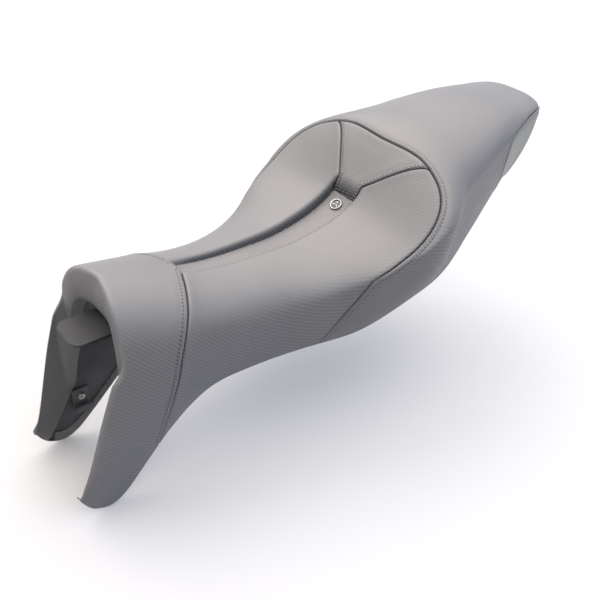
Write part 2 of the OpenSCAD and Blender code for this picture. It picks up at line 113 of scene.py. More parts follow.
def curve(points, x):
    """The smooth curve through an outline's points, straight beyond its ends."""
    px, py = np.asarray(points, float).T
    step = np.diff(px)
    chord = np.diff(py) / step
    inner = (chord[:-1] * step[1:] + chord[1:] * step[:-1]) / (step[:-1] + step[1:])
    slope = np.concatenate([chord[:1], inner, chord[-1:]])
    x = np.asarray(x, float)
    i = np.clip(np.searchsorted(px, x, side="right") - 1, 0, len(step) - 1)
    t, a, b = (x - px[i]) / step[i], py[i], py[i + 1]
    ta, tb = slope[i] * step[i], slope[i + 1] * step[i]
    inside = a + t * (ta + t * (3 * (b - a) - 2 * ta - tb + t * (2 * (a - b) + ta + tb)))
    return np.where(t < 0, a + ta * t, np.where(t > 1, b + tb * (t - 1), inside))


def section(w, top, waist, hem_x, hem_z, power, v):
    """Half section, from the crown at v = 0 round the roll to the waist and in to the hem at 1."""
    a, side = np.abs(v), np.where(v < 0, -1.0, 1.0)
    turn = np.clip(a / WAIST_V, 0, 1) * math.pi / 2
    tuck = np.clip((a - WAIST_V) / (1 - WAIST_V), 0, None)
    rolled = a <= WAIST_V
    x = np.where(rolled, w * np.sin(turn) ** (2 / power), w - (w - hem_x) * tuck ** 2)
    up = np.maximum(np.cos(turn), 0) ** (2 / power)
    z = np.where(rolled, waist + (top - waist) * up, waist - (waist - hem_z) * tuck)
    return side * x, z


def skin(y, v, t=0.0):
    """Points of the cover's outer surface, inset by t."""
    x, z = section(curve(WIDTH, y) - t, curve(CROWN, y) - t, curve(WAIST, y),
                   curve(HEM_X, y) - t, curve(HEM_Z, y), ROLL_POWER, v)
    return np.stack([x, y + 0 * x, z], -1)


def pan_half(y):
    return curve(HEM_X, y) - COVER_T - GAP


def pan(y, v, d=0.0):
    """Points of the pan's top, and of its underside where d is its wall."""
    w, top, low = pan_half(y) - d, curve(PAN_Z, y) - d, curve(HEM_Z, y) + GAP
    x, z = section(w, top, mix(low, top, PAN_WAIST), w, low, PAN_POWER, v)
    return np.stack([x, y + 0 * x, z], -1)


def pan_under(x, y):
    """Height of the pan's underside."""
    w, top = pan_half(y) - PAN_T, curve(PAN_Z, y) - PAN_T
    waist = mix(curve(HEM_Z, y) + GAP, top, PAN_WAIST)
    inside = np.clip(1 - (np.abs(x) / w) ** PAN_POWER, 0, None)
    return waist + (top - waist) * inside ** (1 / PAN_POWER)


def round_tail(w, length, x, z, turn):
    """Carries a half section round the tail's centre; turn is 0 at its side and 90 behind."""
    s, c = np.sin(turn), np.maximum(np.cos(turn), 0)
    back = length * s ** (2 / TAIL_POWER) * np.abs(x)
    return np.stack([(w - TAIL_TAPER * back) * c ** (2 / TAIL_POWER) * x, TAIL_Y + back, z], -1)


def tail_section(turn, v, top, power, low=0.0):
    k = np.sin(turn) ** 2
    ratio = mix(curve(HEM_X, TAIL_Y) / curve(WIDTH, TAIL_Y), 1, k)
    hem = mix(curve(HEM_Z, TAIL_Y), TAIL_HEM_Z, k) + low
    if power == ROLL_POWER:
        return section(1, top, mix(curve(WAIST, TAIL_Y), TAIL_WAIST_Z, k), ratio, hem, power, v)
    return section(ratio, top, mix(hem, top, PAN_WAIST), ratio, hem, power, v)


def skin_tail(turn, v, t=0.0):
    x, z = tail_section(turn, v, curve(CROWN, TAIL_Y) - t, ROLL_POWER)
    return round_tail(curve(WIDTH, TAIL_Y) - t, TAIL_L - t, x, z, turn)


def pan_tail(turn, v, d=0.0):
    x, z = tail_section(turn, v, curve(PAN_Z, TAIL_Y) - d, PAN_POWER, GAP)
    inset = COVER_T + GAP + d
    return round_tail(curve(WIDTH, TAIL_Y) - inset, TAIL_L - inset, x, z, turn)


# ---------------------------------------------------------------- the grid that all panels share
RIDE_L = float(curve(ARC_SEAM, 0) - curve(NOSE_SEAM, 0))
Q_END = float(CHANNEL_END_Y - curve(NOSE_SEAM, 0)) / RIDE_L
Q_TOP = Q_END + WALL_RUN / RIDE_L


def spread(length, ends, fine=FINE, coarse=COARSE, growth=GROWTH):
    """Places from 0 to 1 along a length, close together at the ends that meet a seam."""
    x = np.linspace(0, length, 2001)
    far = np.full_like(x, 1e9)
    near = np.minimum(x if ends[0] else far, length - x if ends[1] else far)
    each = 1 / np.minimum(coarse, fine + growth * near)
    count = np.concatenate([[0], np.cumsum((each[1:] + each[:-1]) / 2 * (x[1] - x[0]))])
    return np.interp(np.linspace(0, count[-1], max(2, math.ceil(count[-1])) + 1), count, x) / length


def v_at(y, x):
    share = np.clip(x / curve(WIDTH, y), 0, 1)
    return WAIST_V * np.arcsin(share ** (ROLL_POWER / 2)) / (math.pi / 2)


def edge_x(q):
    """Half width of the channel floor, and behind it of the wedge panel."""
    return np.interp(q, [0, Q_END, Q_TOP, 1],
                     [CHANNEL_HALF[0], CHANNEL_HALF[1], CHANNEL_HALF[1] + 1, BOLSTER_X])


def edge_v(zone, place):
    q = np.where(zone < RIDER, 0.0, np.where(zone == RIDER, place, 1.0))
    return v_at(mix(curve(NOSE_SEAM, 0), curve(ARC_SEAM, 0), q), edge_x(q))


def flank_v(zone, place):
    front = mix(TAIL_V, TAIL_V_FRONT, place)
    rear = mix(TAIL_V_FRONT, TAIL_V_REAR, place / (math.pi / 2))
    return np.where(zone < FLANK, TAIL_V, np.where(zone == FLANK, front, rear))


def grid_v(zone, place, k):
    """v on the column k: |k| is 1 at the channel's or wedge's edge, 2 at the flank, 3 at the hem."""
    a, edge, flank = np.abs(k), edge_v(zone, place), flank_v(zone, place)
    v = np.where(a <= 1, edge * a, np.where(a <= 2, mix(edge, flank, a - 1), mix(flank, 1, a - 2)))
    return np.where(k < 0, -v, v)


def grid_y(zone, place, v, front_in):
    a = np.abs(v)
    nose, arc, tail = curve(NOSE_SEAM, a), curve(ARC_SEAM, a), curve(TAIL_SEAM, a)
    front = curve(FRONT_EDGE, a) + front_in
    return np.select(
        [zone == NOSE, zone == RIDER, zone == PASSENGER, zone == FLANK],
        [mix(front, nose, place), mix(nose, arc, place), mix(arc, tail, place),
         mix(tail, TAIL_Y, place)], TAIL_Y)


def fall(e, run):
    """A rolled rim's profile: 1 at the crease, 0 where the rim has rolled back to the surface."""
    return np.clip(1 - np.maximum(e, 0) / run, 0, 1) ** 3


def channel_drop(zone, place, k, p):
    """How far the relief channel sinks the surface."""
    q = np.clip(place, 0, 1)
    depth = np.select(
        [zone == NOSE, (zone == RIDER) & (q <= Q_END), zone == RIDER],
        [CHANNEL_DEPTH[0] * fall(curve(NOSE_SEAM, 0) - p[..., 1], NOSE_RUN),
         mix(*CHANNEL_DEPTH, q / Q_END), CHANNEL_DEPTH[1] * fall((q - Q_END) * RIDE_L, REAR_RUN)],
        0.0)
    half = edge_x(np.where(zone == NOSE, 0.0, q))
    return np.where(np.abs(k) <= 1, depth, depth * fall(np.abs(p[..., 0]) - half, RIM_RUN))


def channel_shade(zone, place, p):
    """Painted shade in the channel's crease: how deep in the crease a point lies, from 1 on the crease
    to 0 on the rim.
    """
    q = np.clip(place[:, None], 0, 1)
    beside = np.maximum(np.abs(p[..., 0]) - edge_x(np.minimum(q, Q_END)), 0)
    behind = np.maximum(q - Q_END, 0) * RIDE_L
    return fall(np.hypot(beside, behind), 11) * (zone[:, None] == RIDER) * np.clip(q * 12, 0, 1)


def grid_rows(coarse, fine=FINE):
    """[zone, place] of each row, with a row on each seam."""
    def run(zone, length, ends, low=0.0, high=1.0, skip=0):
        at = spread(length, ends, fine, coarse)[skip:]
        return [(zone, mix(low, high, s)) for s in at]
    size = ZONE_RUNS
    turns = np.linspace(0, math.pi / 2, int(size["tail"] / coarse) + 2)[1:]
    turns = np.arctan(np.tan(np.minimum(turns, math.pi / 2 - 1e-9)) ** (TAIL_POWER / 2))
    rows = run(NOSE, size["nose"], (0, 1))[:-1] + run(RIDER, size["channel"], (1, 1), 0, Q_END)
    rows += run(RIDER, WALL_RUN, (1, 1), Q_END, Q_TOP, 1)
    rows += run(RIDER, size["wedge"], (1, 1), Q_TOP, 1, 1)[:-1]
    rows += run(PASSENGER, size["passenger"], (1, 1))[:-1] + run(FLANK, size["flank"], (1, 0))
    return np.array(rows + [(TAIL, t) for t in turns]).T


def grid_columns(coarse, fine=FINE):
    channel, top, side = COLUMN_RUNS
    half = np.concatenate([spread(channel, (0, 1), fine, coarse),
                           1 + spread(top, (1, 1), fine, coarse)[1:],
                           2 + spread(side, (1, 0), fine, coarse)[1:]])
    return np.concatenate([-half[:0:-1], half])


def grid_points(zone, place, k, front_in):
    zone, place, k = zone[:, None], place[:, None], k[None, :]
    v = grid_v(zone, place, k)
    y = grid_y(zone, place, v, front_in)
    tail = zone == TAIL
    p = np.where(tail[..., None], skin_tail(np.where(tail, place, 0), v), skin(y, v))
    p[..., 2] -= np.where(tail, 0, channel_drop(zone, place, k, p))
    return p, v


def unit(a):
    return a / np.maximum(np.linalg.norm(a, axis=-1, keepdims=True), 1e-9)


def grid_normals(p):
    """Outward unit normals of a grid of points."""
    cross = np.cross(np.gradient(p, axis=1), np.gradient(p, axis=0))
    n = unit(cross)
    n[np.linalg.norm(cross, axis=-1) < 1e-6] = (0, 0, 1)
    return n


# ---------------------------------------------------------------- mesh helpers
def grid_faces(rows, cols, base=0, wrap=False):
    """The four-sided faces of a grid of points, row by row; wrap joins its last column to its first."""
    at = lambda i, j: base + i * cols + j % cols
    return [[at(i, j), at(i, j + 1), at(i + 1, j + 1), at(i + 1, j)]
            for i in range(rows - 1) for j in range(cols if wrap else cols - 1)]


def tube(rings):
    """Verts and faces of a body through rings of points, closed at both ends."""
    count, sides = len(rings), len(rings[0])
    ends = [list(range(sides))[::-1], [(count - 1) * sides + q for q in range(sides)]]
    return [q for ring in rings for q in ring], grid_faces(count, sides, wrap=True) + ends


def circle(centre, radius, first, second, sides=8):
    turns = [2 * math.pi * q / sides for q in range(sides)]
    return [centre + radius * (first * math.cos(t) + second * math.sin(t)) for t in turns]


class Part:
    """A piece that is put together from several bodies."""

    def __init__(self):
        self.verts, self.faces = [], []

    def add(self, verts, faces):
        self.faces += [[q + len(self.verts) for q in f] for f in faces]
        self.verts += list(verts)


def new_object(name, verts, faces, smooth=True, scale=MM):
    mesh = bpy.data.meshes.new(name)
    mesh.from_pydata((np.asarray(verts, float) * scale).tolist(), [], faces)
    mesh.validate(clean_customdata=False)
    mesh.update()
    if smooth:
        mesh.shade_smooth()
    obj = bpy.data.objects.new(name, mesh)
    bpy.context.scene.collection.objects.link(obj)
    return obj


def sharpen(obj, degrees=40):
    """Keeps edges crisp where the surface turns by more than this."""
    mesh = obj.data
    normals = [Vector(f.normal) for f in mesh.polygons]
    met = {}
    for f in mesh.polygons:
        for key in f.edge_keys:
            met.setdefault(key, []).append(f.index)
    limit = math.cos(math.radians(degrees))
    for e in mesh.edges:
        pair = met.get(e.key, [])
        e.use_edge_sharp = len(pair) != 2 or normals[pair[0]].dot(normals[pair[1]]) < limit
    mesh.update()


def finish_piece(obj, material, nodes=(), body="seat"):
    obj.data.materials.clear()
    obj.data.materials.append(material)
    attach(obj, body)
    if nodes:
        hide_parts(*nodes)


def attribute(mesh, name, values):
    made = mesh.attributes.new(name, "FLOAT_VECTOR", "POINT")
    made.data.foreach_set("vector", np.asarray(values, np.float32).ravel())


def cell_faces(points, cells):
    """The grid's faces in the cells that are set."""
    return [f for f, inside in zip(grid_faces(*points.shape[:2]), cells.ravel()) if inside]


def shell(name, outer, inner, cells, data):
    """A closed sheet between two faces of a grid, over the cells that are set."""
    used = np.zeros(outer.shape[:2], bool)
    for di in (0, 1):
        for dj in (0, 1):
            used[di:di + cells.shape[0], dj:dj + cells.shape[1]] |= cells
    _, first, place = np.unique(np.round(outer[used], 2) + 0.0, axis=0, return_index=True,
                                return_inverse=True)
    order = -np.ones(used.size, int)
    order[used.ravel()] = place.reshape(-1)
    n = len(first)
    faces, uses = [], {}
    for corners in cell_faces(outer, cells):
        quad = [int(order[q]) for q in corners]
        quad = [q for c, q in enumerate(quad) if q != quad[c - 1]]
        if len(quad) < 3:
            continue
        faces += [quad, [q + n for q in reversed(quad)]]
        for a, b in zip(quad, quad[1:] + quad[:1]):
            uses[(a, b)] = uses.get((a, b), 0) + 1
    faces += [[b, a, a + n, b + n] for a, b in uses if (b, a) not in uses]
    obj = new_object(name, np.concatenate([outer[used][first], inner[used][first]]), faces)
    for key, values in data.items():
        attribute(obj.data, key, np.concatenate([values[used][first]] * 2))
    return obj


def welded(name, verts, faces):
    """As new_object, but points at the same place are made one and empty faces are dropped."""
    verts = np.asarray(verts, float)
    _, first, inverse = np.unique(np.round(verts, 3), axis=0, return_index=True,
                                  return_inverse=True)
    inverse = inverse.reshape(-1)
    kept = []
    for f in faces:
        g = [int(inverse[q]) for q in f]
        g = [q for i, q in enumerate(g) if q != g[i - 1]]
        if len(set(g)) > 2:
            kept.append(g)
    return new_object(name, verts[first], kept)


# ---------------------------------------------------------------- the cover
def fabric_place(zone, place, v, p):
    """Where each point lies on the vinyl before it was stretched over the foam, in mm."""
    y = np.where(zone == TAIL, TAIL_Y, p[..., 1])
    parts = 32
    steps = [skin(y, v * s) for s in np.linspace(0, 1, parts + 1)]
    girth = sum(np.linalg.norm(b - a, axis=-1) for a, b in zip(steps, steps[1:]))
    squeeze = np.where(zone == TAIL, np.cos(np.where(zone == TAIL, place, 0)) ** (2 / 3), 1.0)
    across = np.sign(v) * girth * squeeze
    ys = np.linspace(-640, TAIL_Y + TAIL_L + 5, 600)
    rise = np.gradient(curve(CROWN, ys), ys)
    length = np.concatenate([[0], np.cumsum(np.hypot(1, (rise[1:] + rise[:-1]) / 2) * np.diff(ys))])
    return across, np.interp(p[..., 1], ys, length)


def cover_grid():
    """The cover's outer face before its seams are sewn, and its front edge."""
    zone, place = grid_rows(COARSE)
    k = grid_columns(COARSE)
    a = np.abs(grid_v(zone[:1, None], place[:1, None], k[None, :]))[0]
    front_y = curve(FRONT_EDGE, a)
    v_row = np.where(k < 0, -a, a)
    fold_at = pan(front_y, v_row, PAN_T + GAP + COVER_T)
    room = np.linalg.norm(skin(front_y, v_row) - fold_at, axis=-1)
    roll = np.minimum(FRONT_ROLL, 0.42 * room)
    p, v = grid_points(zone, place, k, roll)
    return zone, place, k, p, v, (front_y, v_row, roll)


def front_rows(edge, wall=6, tuck=4, hollow=1.2):
    """Rows that roll over the front edge, run down the foam's face and fold under the pan."""
    front_y, v, roll = edge
    under = lambda back: pan(front_y + FRONT_LEAN + back, v, PAN_T + GAP + COVER_T)
    rows = []
    for s in np.linspace(0, 1, ROLL_STEPS + 1)[1:]:
        turn = s * math.pi / 2
        rows.append(skin(front_y + roll * (1 - math.sin(turn)), v, roll * (1 - math.cos(turn))))
    top = rows[-1]
    for s in np.linspace(0, 1, wall + 1)[1:]:
        row = mix(top, under(0), s)
        row[..., 1] -= hollow * math.sin(math.pi * s)
        rows.append(row)
    rows += [under(s * HEM_L) for s in np.linspace(0, 1, tuck + 1)[1:]]
    return rows[::-1]


def hem_columns(p, zone, bends=6, deep=2.3, fade=14):
    """Columns that wrap the pan's edge and run up inside it, from the hem line's points."""
    centre = np.stack([0 * p[:, 0], np.where(zone == TAIL, TAIL_Y, p[:, 1]), p[:, 2]], -1)
    inward = unit(centre - p)
    out = [(HEM_IN / 2 * (1 - math.cos(turn)), -deep * math.sin(turn))
           for turn in np.linspace(0, math.pi, bends + 1)[1:]]
    out += [(HEM_IN + 0.4 * math.sin(math.pi * s), HEM_L * s)
            for s in np.linspace(0, 1, HEM_ROWS + 1)[1:]]
    # near the wings' front corners the hem leans back with the front edge
    lean = FRONT_LEAN * np.exp((FRONT_EDGE[-1][1] - p[:, 1]) / fade)[:, None] * np.array([0, 1.0, 0])
    return [p + inward * d + lean * max(h, 0) + np.array([0, 0, h]) for d, h in out]


def seam_lines(zone, place, k, p):
    """Each seam's points."""
    row = lambda z, s: int(np.argmin(np.abs(zone - z) * 10 + np.abs(place - s)))
    col = lambda c: int(np.argmin(np.abs(k - c)))
    nose, wall, arc, tail = row(RIDER, 0), row(RIDER, Q_END), row(PASSENGER, 0), row(FLANK, 0)
    round_tail_panel = np.concatenate([p[tail, :col(-2)], p[tail:, col(-2)],
                                       p[tail:, col(2)][::-1][1:], p[tail, col(2) + 1:]])
    return {"nose": p[nose], "arc": p[arc], "wedge_left": p[wall:arc + 1, col(1)],
            "wedge_right": p[wall:arc + 1, col(-1)], "tail": round_tail_panel}


def dense(line, step=0.25):
    """A line's points, evenly apart, with the length to each."""
    gaps = np.linalg.norm(np.diff(line, axis=0), axis=1)
    line = line[np.concatenate([[True], gaps > 1e-6])]
    run = np.concatenate([[0], np.cumsum(np.linalg.norm(np.diff(line, axis=0), axis=1))])
    at = np.arange(0, run[-1], step)
    return np.stack([np.interp(at, run, line[:, c]) for c in range(3)], -1), at


def near_line(points, line):
    """Distance from each point to a line, and the length along it there."""
    spots, at = dense(line)
    tree = KDTree(len(spots))
    for i, s in enumerate(spots):
        tree.insert(s, i)
    tree.balance()
    found = [tree.find(q) for q in points.reshape(-1, 3)]
    d = np.array([f[2] for f in found]).reshape(points.shape[:-1])
    return d, at[np.array([f[1] for f in found])].reshape(points.shape[:-1])


# How far each seam's row of stitches lies from its groove
SEAMS = {"nose": 7.0, "arc": 6.5, "wedge_left": 5.0, "wedge_right": 5.0, "tail": 4.5}


def seam_profile(d, fold, folded):
    """The surface's height beside a seam, d from its groove."""
    groove = -GROOVE * np.exp(-(d / GROOVE_W) ** 2)
    rise = 1 / (1 + np.exp(-(d - 1.6) / 0.35))
    flat = FOLD_UP * rise / (1 + np.exp(np.minimum((d - fold - 0.6) / 0.5, 700)))
    pull = -0.45 * np.exp(-((d - fold) / 1.1) ** 2)
    puff = 0.5 * np.exp(-((d - fold - 7) / 5) ** 2)
    plump = 0.6 * rise * np.exp(-((d - 4.5) / 6) ** 2)
    return groove + np.where(folded, flat + pull + puff, plump)


def inflate(zone, place, k, p, lines):
    """Cloth simulation of the cover: air pressure from inside, held at the seams and the hem.
    Returns how far it moves each point of the coarse grid, in mm."""
    rows, cols = p.shape[:2]
    pinned = np.zeros((rows, cols))
    for line in lines.values():
        d, _ = near_line(p, line)
        pinned = np.maximum(pinned, np.clip(1 - d / 9, 0, 1))
    hem = (np.abs(k) > 2.9)[None, :]
    front = ((zone == NOSE) & (place < 0.05))[:, None]
    channel = (np.abs(k) <= 1.25)[None, :] & ((zone == RIDER) & (place <= Q_TOP + 0.03))[:, None]
    pinned = np.maximum(pinned, hem | front | channel)
    obj = new_object("cloth_draft", p.reshape(-1, 3), grid_faces(rows, cols))
    group = obj.vertex_groups.new(name="held")
    for i, w in enumerate(pinned.ravel()):
        if w > 0:
            group.add([i], float(w), "REPLACE")
    cloth = obj.modifiers.new("cloth", "CLOTH")
    s = cloth.settings
    s.quality, s.mass, s.air_damping = 6, 0.35, 2.0
    s.tension_stiffness = s.compression_stiffness = 60
    s.shear_stiffness, s.bending_stiffness = 30, 4
    s.use_pressure, s.uniform_pressure_force = True, 4.0
    s.effector_weights.gravity = 0
    s.vertex_group_mass = "held"
    cloth.collision_settings.use_collision = False
    scene = bpy.context.scene
    for frame_number in range(1, 21):
        scene.frame_set(frame_number)
    graph = bpy.context.evaluated_depsgraph_get()
    done = obj.evaluated_get(graph).data
    co = np.zeros(len(done.vertices) * 3, np.float32)
    done.vertices.foreach_get("co", co)
    moved = co.reshape(rows, cols, 3) / MM - p
    scene.frame_set(1)
    bpy.data.objects.remove(obj)
    return moved


def swell(zone, place, k, p, normals, lines, every=3):
    """The crown of each panel between its seams, from the cloth run on a coarser grid, in mm."""
    pick_r, pick_c = (np.unique(np.append(np.arange(0, len(a), every), len(a) - 1)) for a in (zone, k))
    sub = np.ix_(pick_r, pick_c)
    moved = inflate(zone[pick_r], place[pick_r], k[pick_c], p[sub], lines)
    height = (moved * normals[sub]).sum(-1)
    for _ in range(2):
        padded = np.pad(height, 1, mode="edge")
        height = (padded[1:-1, 1:-1] * 4 + padded[:-2, 1:-1] + padded[2:, 1:-1]
                  + padded[1:-1, :-2] + padded[1:-1, 2:]) / 8
    height = BULGE_MAX * np.tanh(height / BULGE_MAX)
    full = np.stack([np.interp(np.arange(len(k)), pick_c, r) for r in height])
    return np.stack([np.interp(np.arange(len(zone)), pick_r, c) for c in full.T], -1)


def panel_cells(zone, place, k):
    """Which panel holds each cell of the grid."""
    z = zone[:-1, None]
    s = place[:-1, None]
    c = (np.abs(k[:-1]) + np.abs(k[1:]))[None, :] / 2
    left = (k[:-1] + k[1:])[None, :] > 0
    ride = z == RIDER
    tail = (z >= FLANK) & (c > 2)
    return {
        "cover_nose": (z == NOSE) & (c > -1),
        "cover_rider_left": ride & (c > 1) & left,
        "cover_rider_right": ride & (c > 1) & ~left,
        "cover_channel": ride & (c < 1) & (s < Q_END - 1e-6),
        "cover_bolster": ride & (c < 1) & (s >= Q_END - 1e-6),
        "cover_tail": tail,
        "cover_passenger": (z >= PASSENGER) & ~tail & (c > -1),
    }


# Each panel's twill angle to the length of the seat, and what it is cut to before it is sewn:
# width, length and area, in metres
PANELS = {
    "cover_nose": (43, 0.72, 0.26, 0.084),
    "cover_rider_left": (37, 0.29, 0.43, 0.064),
    "cover_rider_right": (37, 0.29, 0.43, 0.064),
    "cover_channel": (-42, 0.043, 0.276, 0.0102),
    "cover_bolster": (42, 0.176, 0.088, 0.0093),
    "cover_passenger": (37, 0.64, 0.53, 0.171),
    "cover_tail": (40, 0.46, 0.15, 0.0395),
}


def weave_cells(across, along, degrees):
    """The twill's own cell numbers, with its diagonal at an angle to the seat's length."""
    turn = math.radians(45 - degrees)
    u = across * math.cos(turn) + along * math.sin(turn)
    w = -across * math.sin(turn) + along * math.cos(turn)
    return np.stack([u / WEAVE_CELL, w / WEAVE_CELL, 0 * u], -1)


def seam_marks(zone, place, k, p, lines):
    """The seams' relief on the skin, and the marks beside them that the vinyl's material reads: stitch
    rows, painted shade in the grooves and painted shade in the channel's crease.
    """
    nose = np.pad(panel_cells(zone, place, k)["cover_nose"], ((0, 1), (0, 1)), mode="edge")
    wedge = (np.abs(k)[None, :] <= 1) & ((zone == RIDER) & (place >= Q_END))[:, None]
    tail = (zone[:, None] >= FLANK) & (np.abs(k)[None, :] >= 2)
    folded = {"nose": nose, "arc": zone[:, None] >= PASSENGER, "wedge_left": wedge,
              "wedge_right": wedge, "tail": tail}
    by_hem = mix(1, 0.2, np.clip((np.abs(k)[None, :] - 2.3) / 0.5, 0, 1))
    by_channel = 1 - fall(np.abs(p[..., 0]) - CHANNEL_HALF[0], 3)
    rows = {kind: np.full(p.shape[:2] + (2,), FAR) for kind in ("across", "wedge")}
    seam, relief = np.full(p.shape[:2], FAR), 0.0
    for name, line in lines.items():
        d, at = near_line(p, line)
        fold = SEAMS[name]
        seam = np.minimum(seam, d)
        on_fold = folded[name] & (d >= 0)
        fade = by_hem * (by_channel if name == "nose" else 1.0)
        relief = relief + fade * seam_profile(d, fold, on_fold)
        off = np.where(on_fold, d - fold, d + fold)
        stitch = rows["wedge" if name.startswith("wedge") else "across"]
        nearer = np.abs(off) < np.abs(stitch[..., 0])
        stitch[nearer] = np.stack([off, at / STITCH_PITCH], -1)[nearer]
    # painted shade in the channel's crease rides as the wedge stitch attribute's third value
    shade = channel_shade(zone, place, p)
    # the distance to the nearest groove goes with the stitch rows, for the painted shade in the grooves
    return relief, {"stitches_and_groove_shade": np.concatenate([rows["across"], seam[..., None]], -1),
                    "wedge_stitches_and_crease_shade": np.concatenate([rows["wedge"], shade[..., None]], -1)}


def wrap_edges(zone, place, k, p, edge):
    """Carries the grid on over the front edge and round the hem; pad is what that adds."""
    front = np.stack(front_rows(edge))
    full = np.concatenate([front, p])
    zone = np.concatenate([np.full(len(front), NOSE), zone])
    place = np.concatenate([np.full(len(front), -1.0), place])
    left = np.stack(hem_columns(full[:, -1], zone), 1)
    right = np.stack(hem_columns(full[:, 0], zone), 1)[:, ::-1]
    hem = left.shape[1]
    beyond = np.arange(1, hem + 1) / hem
    k = np.concatenate([-3 - beyond[::-1], k, 3 + beyond])
    return zone, place, k, np.concatenate([right, full, left], 1), ((len(front), 0), (hem, hem))


def carry_on(across, along, full, pad):
    """Carries each point's place on the flat vinyl on over the front edge and the hem."""
    across, along = (np.pad(a, pad, mode="edge") for a in (across, along))
    step = np.linalg.norm(np.diff(full, axis=0), axis=-1)
    for i in reversed(range(pad[0][0])):
        along[i] = along[i + 1] - step[i]
    step = np.linalg.norm(np.diff(full, axis=1), axis=-1)
    for j in reversed(range(pad[1][0])):
        across[:, j] = across[:, j + 1] - step[:, j]
        across[:, -1 - j] = across[:, -2 - j] + step[:, -1 - j]
    return across, along


def open_corners(cells, front, hem):
    """The cells without a hem: under the front edge and at the wings' front corners."""
    bare = np.zeros(cells.shape, bool)
    folds, corner = front - ROLL_STEPS, front + 4
    bare[:folds, :hem] = bare[:folds, -hem:] = True
    bare[:corner, :HEM_ROWS] = bare[:corner, -HEM_ROWS:] = True
    return bare


def make_cover(materials):
    zone, place, k, p, v, edge = cover_grid()
    normals = grid_normals(p)
    lines = seam_lines(zone, place, k, p)
    across, along = fabric_place(zone[:, None], place[:, None], v, p)
    relief, marks = seam_marks(zone, place, k, p, lines)
    height = swell(zone, place, k, p, normals, lines) + relief
    p = p + normals * height[..., None]
    # the tail's rows meet on its middle line and in its centre point
    p[-1] = (p[-1] + p[-1, ::-1]) / 2 * (0, 1, 1)
    middle = len(k) // 2
    p[zone == TAIL, middle] = p[int(np.argmax(zone == TAIL)) - 1, middle]
    zone, place, k, full, pad = wrap_edges(zone, place, k, p, edge)
    inner = full - grid_normals(full) * COVER_T
    across, along = carry_on(across, along, full, pad)
    marks = {key: np.pad(a, pad + ((0, 0),), mode="edge") for key, a in marks.items()}
    # only the rider's panels and the bolster keep the painted crease shade
    unshaded = {**marks, "wedge_stitches_and_crease_shade": marks["wedge_stitches_and_crease_shade"] * (1, 1, 0)}
    points = full.reshape(-1, 3).tolist()
    trees = {}
    for name, cells in panel_cells(zone, place, k).items():
        cells = cells & ~open_corners(cells, pad[0][0], pad[1][0])
        angle, *flat, area = PANELS[name]
        data = {"weave": weave_cells(across, along, angle),
                **(marks if "rider" in name or "bolster" in name else unshaded)}
        obj = shell(name.replace("cover_", "panel_"), full, inner, cells, data)
        sharpen(obj, 50)
        slot = "plain_vinyl" if name == "cover_tail" else "vinyl"
        finish_piece(obj, materials[slot], [name])
        trees[name] = BVHTree.FromPolygons(points, cell_faces(full, cells))
    return trees, lines


# ---------------------------------------------------------------- thread
def thread_path(line, fold, toward, tree):
    """Points of a row of stitches on the surface, fold away from the seam, with normals."""
    spots, _ = dense(line, THREAD_STEP)
    points, ups = [], []
    for s, t in zip(spots, unit(np.gradient(spots, axis=0))):
        side = unit(np.cross(np.array(tree.find_nearest(Vector(s))[1]), t))
        side = -side if side @ toward(s) < 0 else side
        point, up, _, _ = tree.find_nearest(Vector(s + side * fold))
        points.append(np.array(point))
        ups.append(np.array(up))
    return smooth_rows(np.array(points), 5), unit(smooth_rows(np.array(ups), 5))


def smooth_rows(a, times):
    """Evens out a row of points, leaving its ends."""
    for _ in range(times):
        a[1:-1] = (a[:-2] + 2 * a[1:-1] + a[2:]) / 4
    return a


def stitches(name, points, ups, material, rings=7):
    """A row of single stitches, each a short thread that dives in at both ends."""
    places = THREAD_STEP * np.arange(len(points))
    at = lambda a, s: np.array([np.interp(s, places, a[:, c]) for c in range(3)])
    row = Part()
    lead = (STITCH_PITCH - STITCH_LONG) / 2
    for start in np.arange(lead, places[-1] - STITCH_PITCH, STITCH_PITCH):
        thread = []
        for r in range(rings):
            s = start + STITCH_LONG * r / (rings - 1)
            bow = math.sin(math.pi * r / (rings - 1))
            up = unit(at(ups, s))
            ahead = unit(at(points, s + 0.3) - at(points, s - 0.3))
            centre = at(points, s) + up * THREAD_R * (1.2 * bow ** 0.6 - 0.7)
            radius = THREAD_R * (0.35 + 0.65 * bow ** 0.4)
            thread.append(circle(centre, radius, np.cross(ahead, up), up))
        row.add(*tube(thread))
    finish_piece(new_object(name, row.verts, row.faces), material)


def make_stitching(trees, lines, material):
    rows = {
        "nose": ("cover_nose", lambda s: np.array([0, -1.0, 0])),
        "arc": ("cover_passenger", lambda s: np.array([0.35 * np.sign(s[0]), 1.0, 0.6])),
        "wedge_left": ("cover_bolster", lambda s: np.array([-1.0, 0, 0])),
        "wedge_right": ("cover_bolster", lambda s: np.array([1.0, 0, 0])),
        "tail": ("cover_tail", lambda s: np.array([0.5 * np.sign(s[0]), 0.6, -1.0])),
    }
    for name, (panel, toward) in rows.items():
        points, ups = thread_path(lines[name], SEAMS[name], toward, trees[panel])
        stitches("stitching_" + name, points, ups, material)


# ---------------------------------------------------------------- foam and pan
def block_grids(coarse=9.0, fine=3.0):
    zone, place = grid_rows(coarse, fine)
    k = grid_columns(coarse, fine)
    z, s = zone[:, None], place[:, None]
    v = grid_v(z, s, k[None, :])
    a = np.abs(v)
    behind_wing = 2 + 8 * np.clip((a - 0.35) / 0.2, 0, 1) * np.clip((1 - a) / 0.06, 0, 1)
    pan_y, foam_y = (grid_y(z, s, v, COVER_T + GAP + back) for back in (0, behind_wing))
    return zone, place, k, v, pan_y, foam_y


def pan_face(zone, place, v, y, d):
    tail = zone[:, None] == TAIL
    return np.where(tail[..., None], pan_tail(np.where(tail, place[:, None], 0), v, d), pan(y, v, d))


